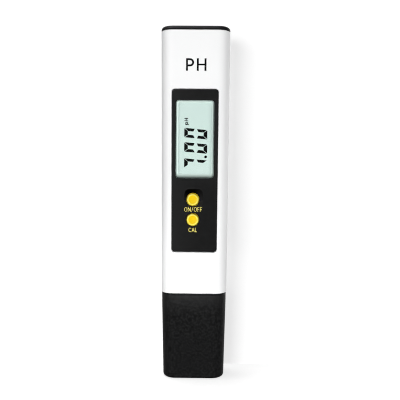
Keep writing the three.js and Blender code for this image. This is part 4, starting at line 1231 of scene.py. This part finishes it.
def electrode():
    n = 12
    rings = []
    a = (pcap_hw(30.0) - PCAP_WALL - 0.3, pcap_hd(30.0) - PCAP_WALL - 0.3)
    b = (pcap_hw(PCAP_TOP) - PCAP_WALL - 0.3, pcap_hd(PCAP_TOP) - PCAP_WALL - 0.3)

    def neck(z):
        t = (z - 30.0) / 8.3
        return lerp(a[0], b[0], t), lerp(a[1], b[1], t)

    for z, inset in fillet(0.6, 5, 30.0, 1):
        rings.append(ring(z, *neck(z), 3.6, inset, n))
    for z, inset in ((33.15, 0.0), (33.2, 0.05), (33.2, 0.60), (34.8, 0.60), (34.8, 0.05), (34.85, 0.0), (36.6, 0.0), (38.45, 0.0)):
        rings.append(ring(z, *neck(z), 3.6, inset, n))
    for z in (38.7, 45.0, 52.0):
        rings.append(ring(z, housing_hw(z) - WALL - 0.15, HALF_DEPTH - WALL - 0.15, 3.6, 0.0, n))
    rings.append(ring(52.2, housing_hw(52.2) - WALL - 0.15, HALF_DEPTH - WALL - 0.15, 3.6, 0.2, n))
    verts, faces = loft(rings)
    obj = mesh("electrode_plug", verts, faces, "black", weighted=False)
    v, f = lathe([(0, 29.0), (6.0, 29.0), (6.0, 29.9), (5.66, 30.25), (5.66, 36.1), (3.15, 36.1), (3.15, 53.0), (0, 53.0)], 72)
    bore = mesh("bore_tool", v, f, "black", weighted=False)
    v, f = lathe([(0, 29.0), (1.7, 29.0), (1.7, 29.9), (1.36, 30.2), (1.36, 53.0), (0, 53.0)], 40, "Z", (8.6, 0, 0))
    cut(obj, bore, mesh("probe_tool", v, f, "black", weighted=False))
    tidy(obj)
    shade(obj, 30.0)
    place(obj, SHELL, "electrode_collar", slot="cap_black")

    rings = []
    for i in range(13):
        t = -math.pi / 2 + math.pi * i / 12
        rings.append(ring(34.0 + 0.70 * math.sin(t), 12.35, 6.2, 3.7, 0.38 - 0.38 * math.cos(t), n))
    for z in (34.7, 33.3):
        rings.append(ring(z, 12.35, 6.2, 3.7, 0.72, n))
    verts, faces = loft(rings, closed=True)
    place(mesh("plug_seal", verts, faces, "rubber", 50.0), SHELL, "collar_seal", slot="seal_rubber")

    # guard sleeve with four slots
    ro, ri, zb, zt = 5.5, 4.4, 8.0, 36.0
    prof = [(ri, zb + 0.35), (ri + 0.12, zb + 0.12), (ri + 0.35, zb), (ro - 0.40, zb), (ro - 0.15, zb + 0.12), (ro, zb + 0.42),
            (ro, 28.2), (ro, 28.3), (ro, zt - 0.2), (ro - 0.2, zt), (ri + 0.1, zt), (ri, zt - 0.1)]
    v, f = lathe(prof + [prof[0]], 96)
    sleeve = mesh("guard_sleeve", v, f, "black", weighted=False)
    tools = []
    for k in range(2):
        ang = math.radians(45 + 90 * k)
        rot = Matrix.Rotation(ang, 3, "Z")
        pts2 = [(-1.5, zb - 1.0), (1.5, zb - 1.0)] + [(1.5 * math.cos(math.radians(t)), 17.5 + 1.5 * math.sin(math.radians(t)))
                                                   for t in range(0, 181, 12)]
        verts = [tuple(rot @ Vector((sx, y, z))) for sx in (-8.0, 8.0) for y, z in pts2]
        m = len(pts2)
        faces = [tuple(reversed(range(m))), tuple(range(m, 2 * m))] + [(i, (i + 1) % m, m + (i + 1) % m, m + i) for i in range(m)]
        tools.append(mesh("slot_tool", verts, faces, "black", weighted=False))
    cut(sleeve, *tools)
    tidy(sleeve)
    bevel = sleeve.modifiers.new("soft_edges", "BEVEL")
    bevel.width = 0.12 * MM
    bevel.segments = 2
    bevel.limit_method = "ANGLE"
    bevel.angle_limit = math.radians(50)
    bevel.use_clamp_overlap = True
    bake(sleeve)
    shade(sleeve, 30.0)
    place(sleeve, SHELL, "electrode_sleeve", slot="cap_black")

    # blown stem and bulb
    rb, rs, zc = 3.9, 3.0, 14.2
    wall, ws = 0.4, 0.6
    prof = []
    join = math.pi - math.asin((rs + 0.25) / rb)
    for i in range(25):
        t = join * i / 24
        prof.append((0.0 if i == 0 else rb * math.sin(t), zc - rb * math.cos(t)))
    # short flare from the bulb into the stem
    r1, z1 = prof[-1]
    for i in range(1, 7):
        t = i / 6
        prof.append((lerp(r1, rs, math.sin(t * math.pi / 2)), z1 + 1.3 * t))
    prof += [(rs, 49.9), (rs - 0.1, 50.0), (rs - ws + 0.1, 50.0), (rs - ws, 49.9)]
    inner = []
    rbi, rsi = rb - wall, rs - ws
    join = math.pi - math.asin((rsi + 0.2) / rbi)
    for i in range(25):
        t = join * i / 24
        inner.append((0.0 if i == 0 else rbi * math.sin(t), zc - rbi * math.cos(t)))
    inner.append((rsi, inner[-1][1] + 1.2))
    prof += list(reversed(inner))
    v, f = lathe(prof, 64)
    place(mesh("glass_bulb", v, f, "glass", 60.0), SHELL, "glass_electrode", slot="glass_clear")

    v, f = lathe([(0, 12.6), (0.3, 12.65), (0.45, 12.9), (0.45, 51.8), (0.3, 52.0), (0, 52.0)], 24)
    place(mesh("inner_wire", v, f, "silver", 40.0), SHELL, "silver_wire", slot="silver")
    prof = [(3.1, 20.1), (3.2, 20.0), (4.2, 20.0), (4.3, 20.1), (4.3, 22.9), (4.2, 23.0), (3.2, 23.0), (3.1, 22.9), (3.1, 20.1)]
    v, f = lathe(prof, 64)
    place(mesh("junction_band", v, f, "ceramic", 40.0), SHELL, "junction_ring", slot="junction_white")
    prof = [(0.0, 25.0)] + [(1.2 * math.sin(math.pi / 2 * i / 8), 25.0 + 1.2 * (1 - math.cos(math.pi / 2 * i / 8))) for i in range(1, 9)]
    prof += [(1.2, 52.1), (1.1, 52.2), (0.0, 52.2)]
    v, f = lathe(prof, 40, "Z", (8.6, 0, 0))
    place(mesh("probe_pin", v, f, "stainless", 40.0), SHELL, "temperature_probe", slot="probe_steel")


# -------------------------------------------------------------- battery parts


def cells():
    for i in range(4):
        x0 = -10.8 + i * 5.4 + 0.06
        x1 = x0 + 5.28
        prof = [(0.0, x0), (4.55, x0), (4.8, x0 + 0.06), (4.95, x0 + 0.22), (5.0, x0 + 0.45), (5.0, x0 + 0.78), (5.42, x0 + 0.80),
                (5.62, x0 + 0.86), (5.75, x0 + 1.0), (5.8, x0 + 1.2), (5.8, x1 - 0.45), (5.74, x1 - 0.22), (5.6, x1 - 0.06), (5.4, x1),
                (4.9, x1), (4.85, x1 - 0.04), (0.0, x1 - 0.04)]
        v, f = lathe(prof, 72, "X", (0, 0, 145.2))
        place(mesh(f"cell_{i + 1}", v, f, "nickel", 30.0), SHELL, f"button_cell_{i + 1}", slot="cell_steel")


# ------------------------------------------------------------ build the pieces

housing()
panel()
window()
display_reading()
lettering()
button("power", POWER, "power_button")
button("cal", CALIB, "calibration_button")
battery_cap()
protective_cap()
electrode()
cells()

# ---------------------------------------------- pieces kept from the CAD model

KEPT = {
    "lcd_reflector": "steel", "lcd_frame": "inner_black", "zebra_strip_left": "rubber", "zebra_strip_right": "rubber",
    "main_board": "board", "controller_chip": "chip", "amplifier_chip": "chip", "timing_crystal": "steel",
    "filter_capacitor": "steel", "power_switch_base": "chip", "calibration_switch_base": "chip",
    "power_switch_plunger": "steel", "calibration_switch_plunger": "steel", "inner_frame": "grey",
    "board_screw_1": "steel", "board_screw_2": "steel", "board_screw_3": "steel", "board_screw_4": "steel",
    "battery_holder": "inner_black", "battery_contact_positive": "nickel", "battery_contact_negative": "nickel",
    "electrode_lead": "red_wire", "temperature_lead": "dark_wire",
}
for node, key in KEPT.items():
    obj = bpy.data.objects[node] if node in bpy.data.objects else None
    if obj is None:
        continue
    if not obj.material_slots:
        obj.data.materials.append(M[key])
    for s in obj.material_slots:
        s.material = M[key]
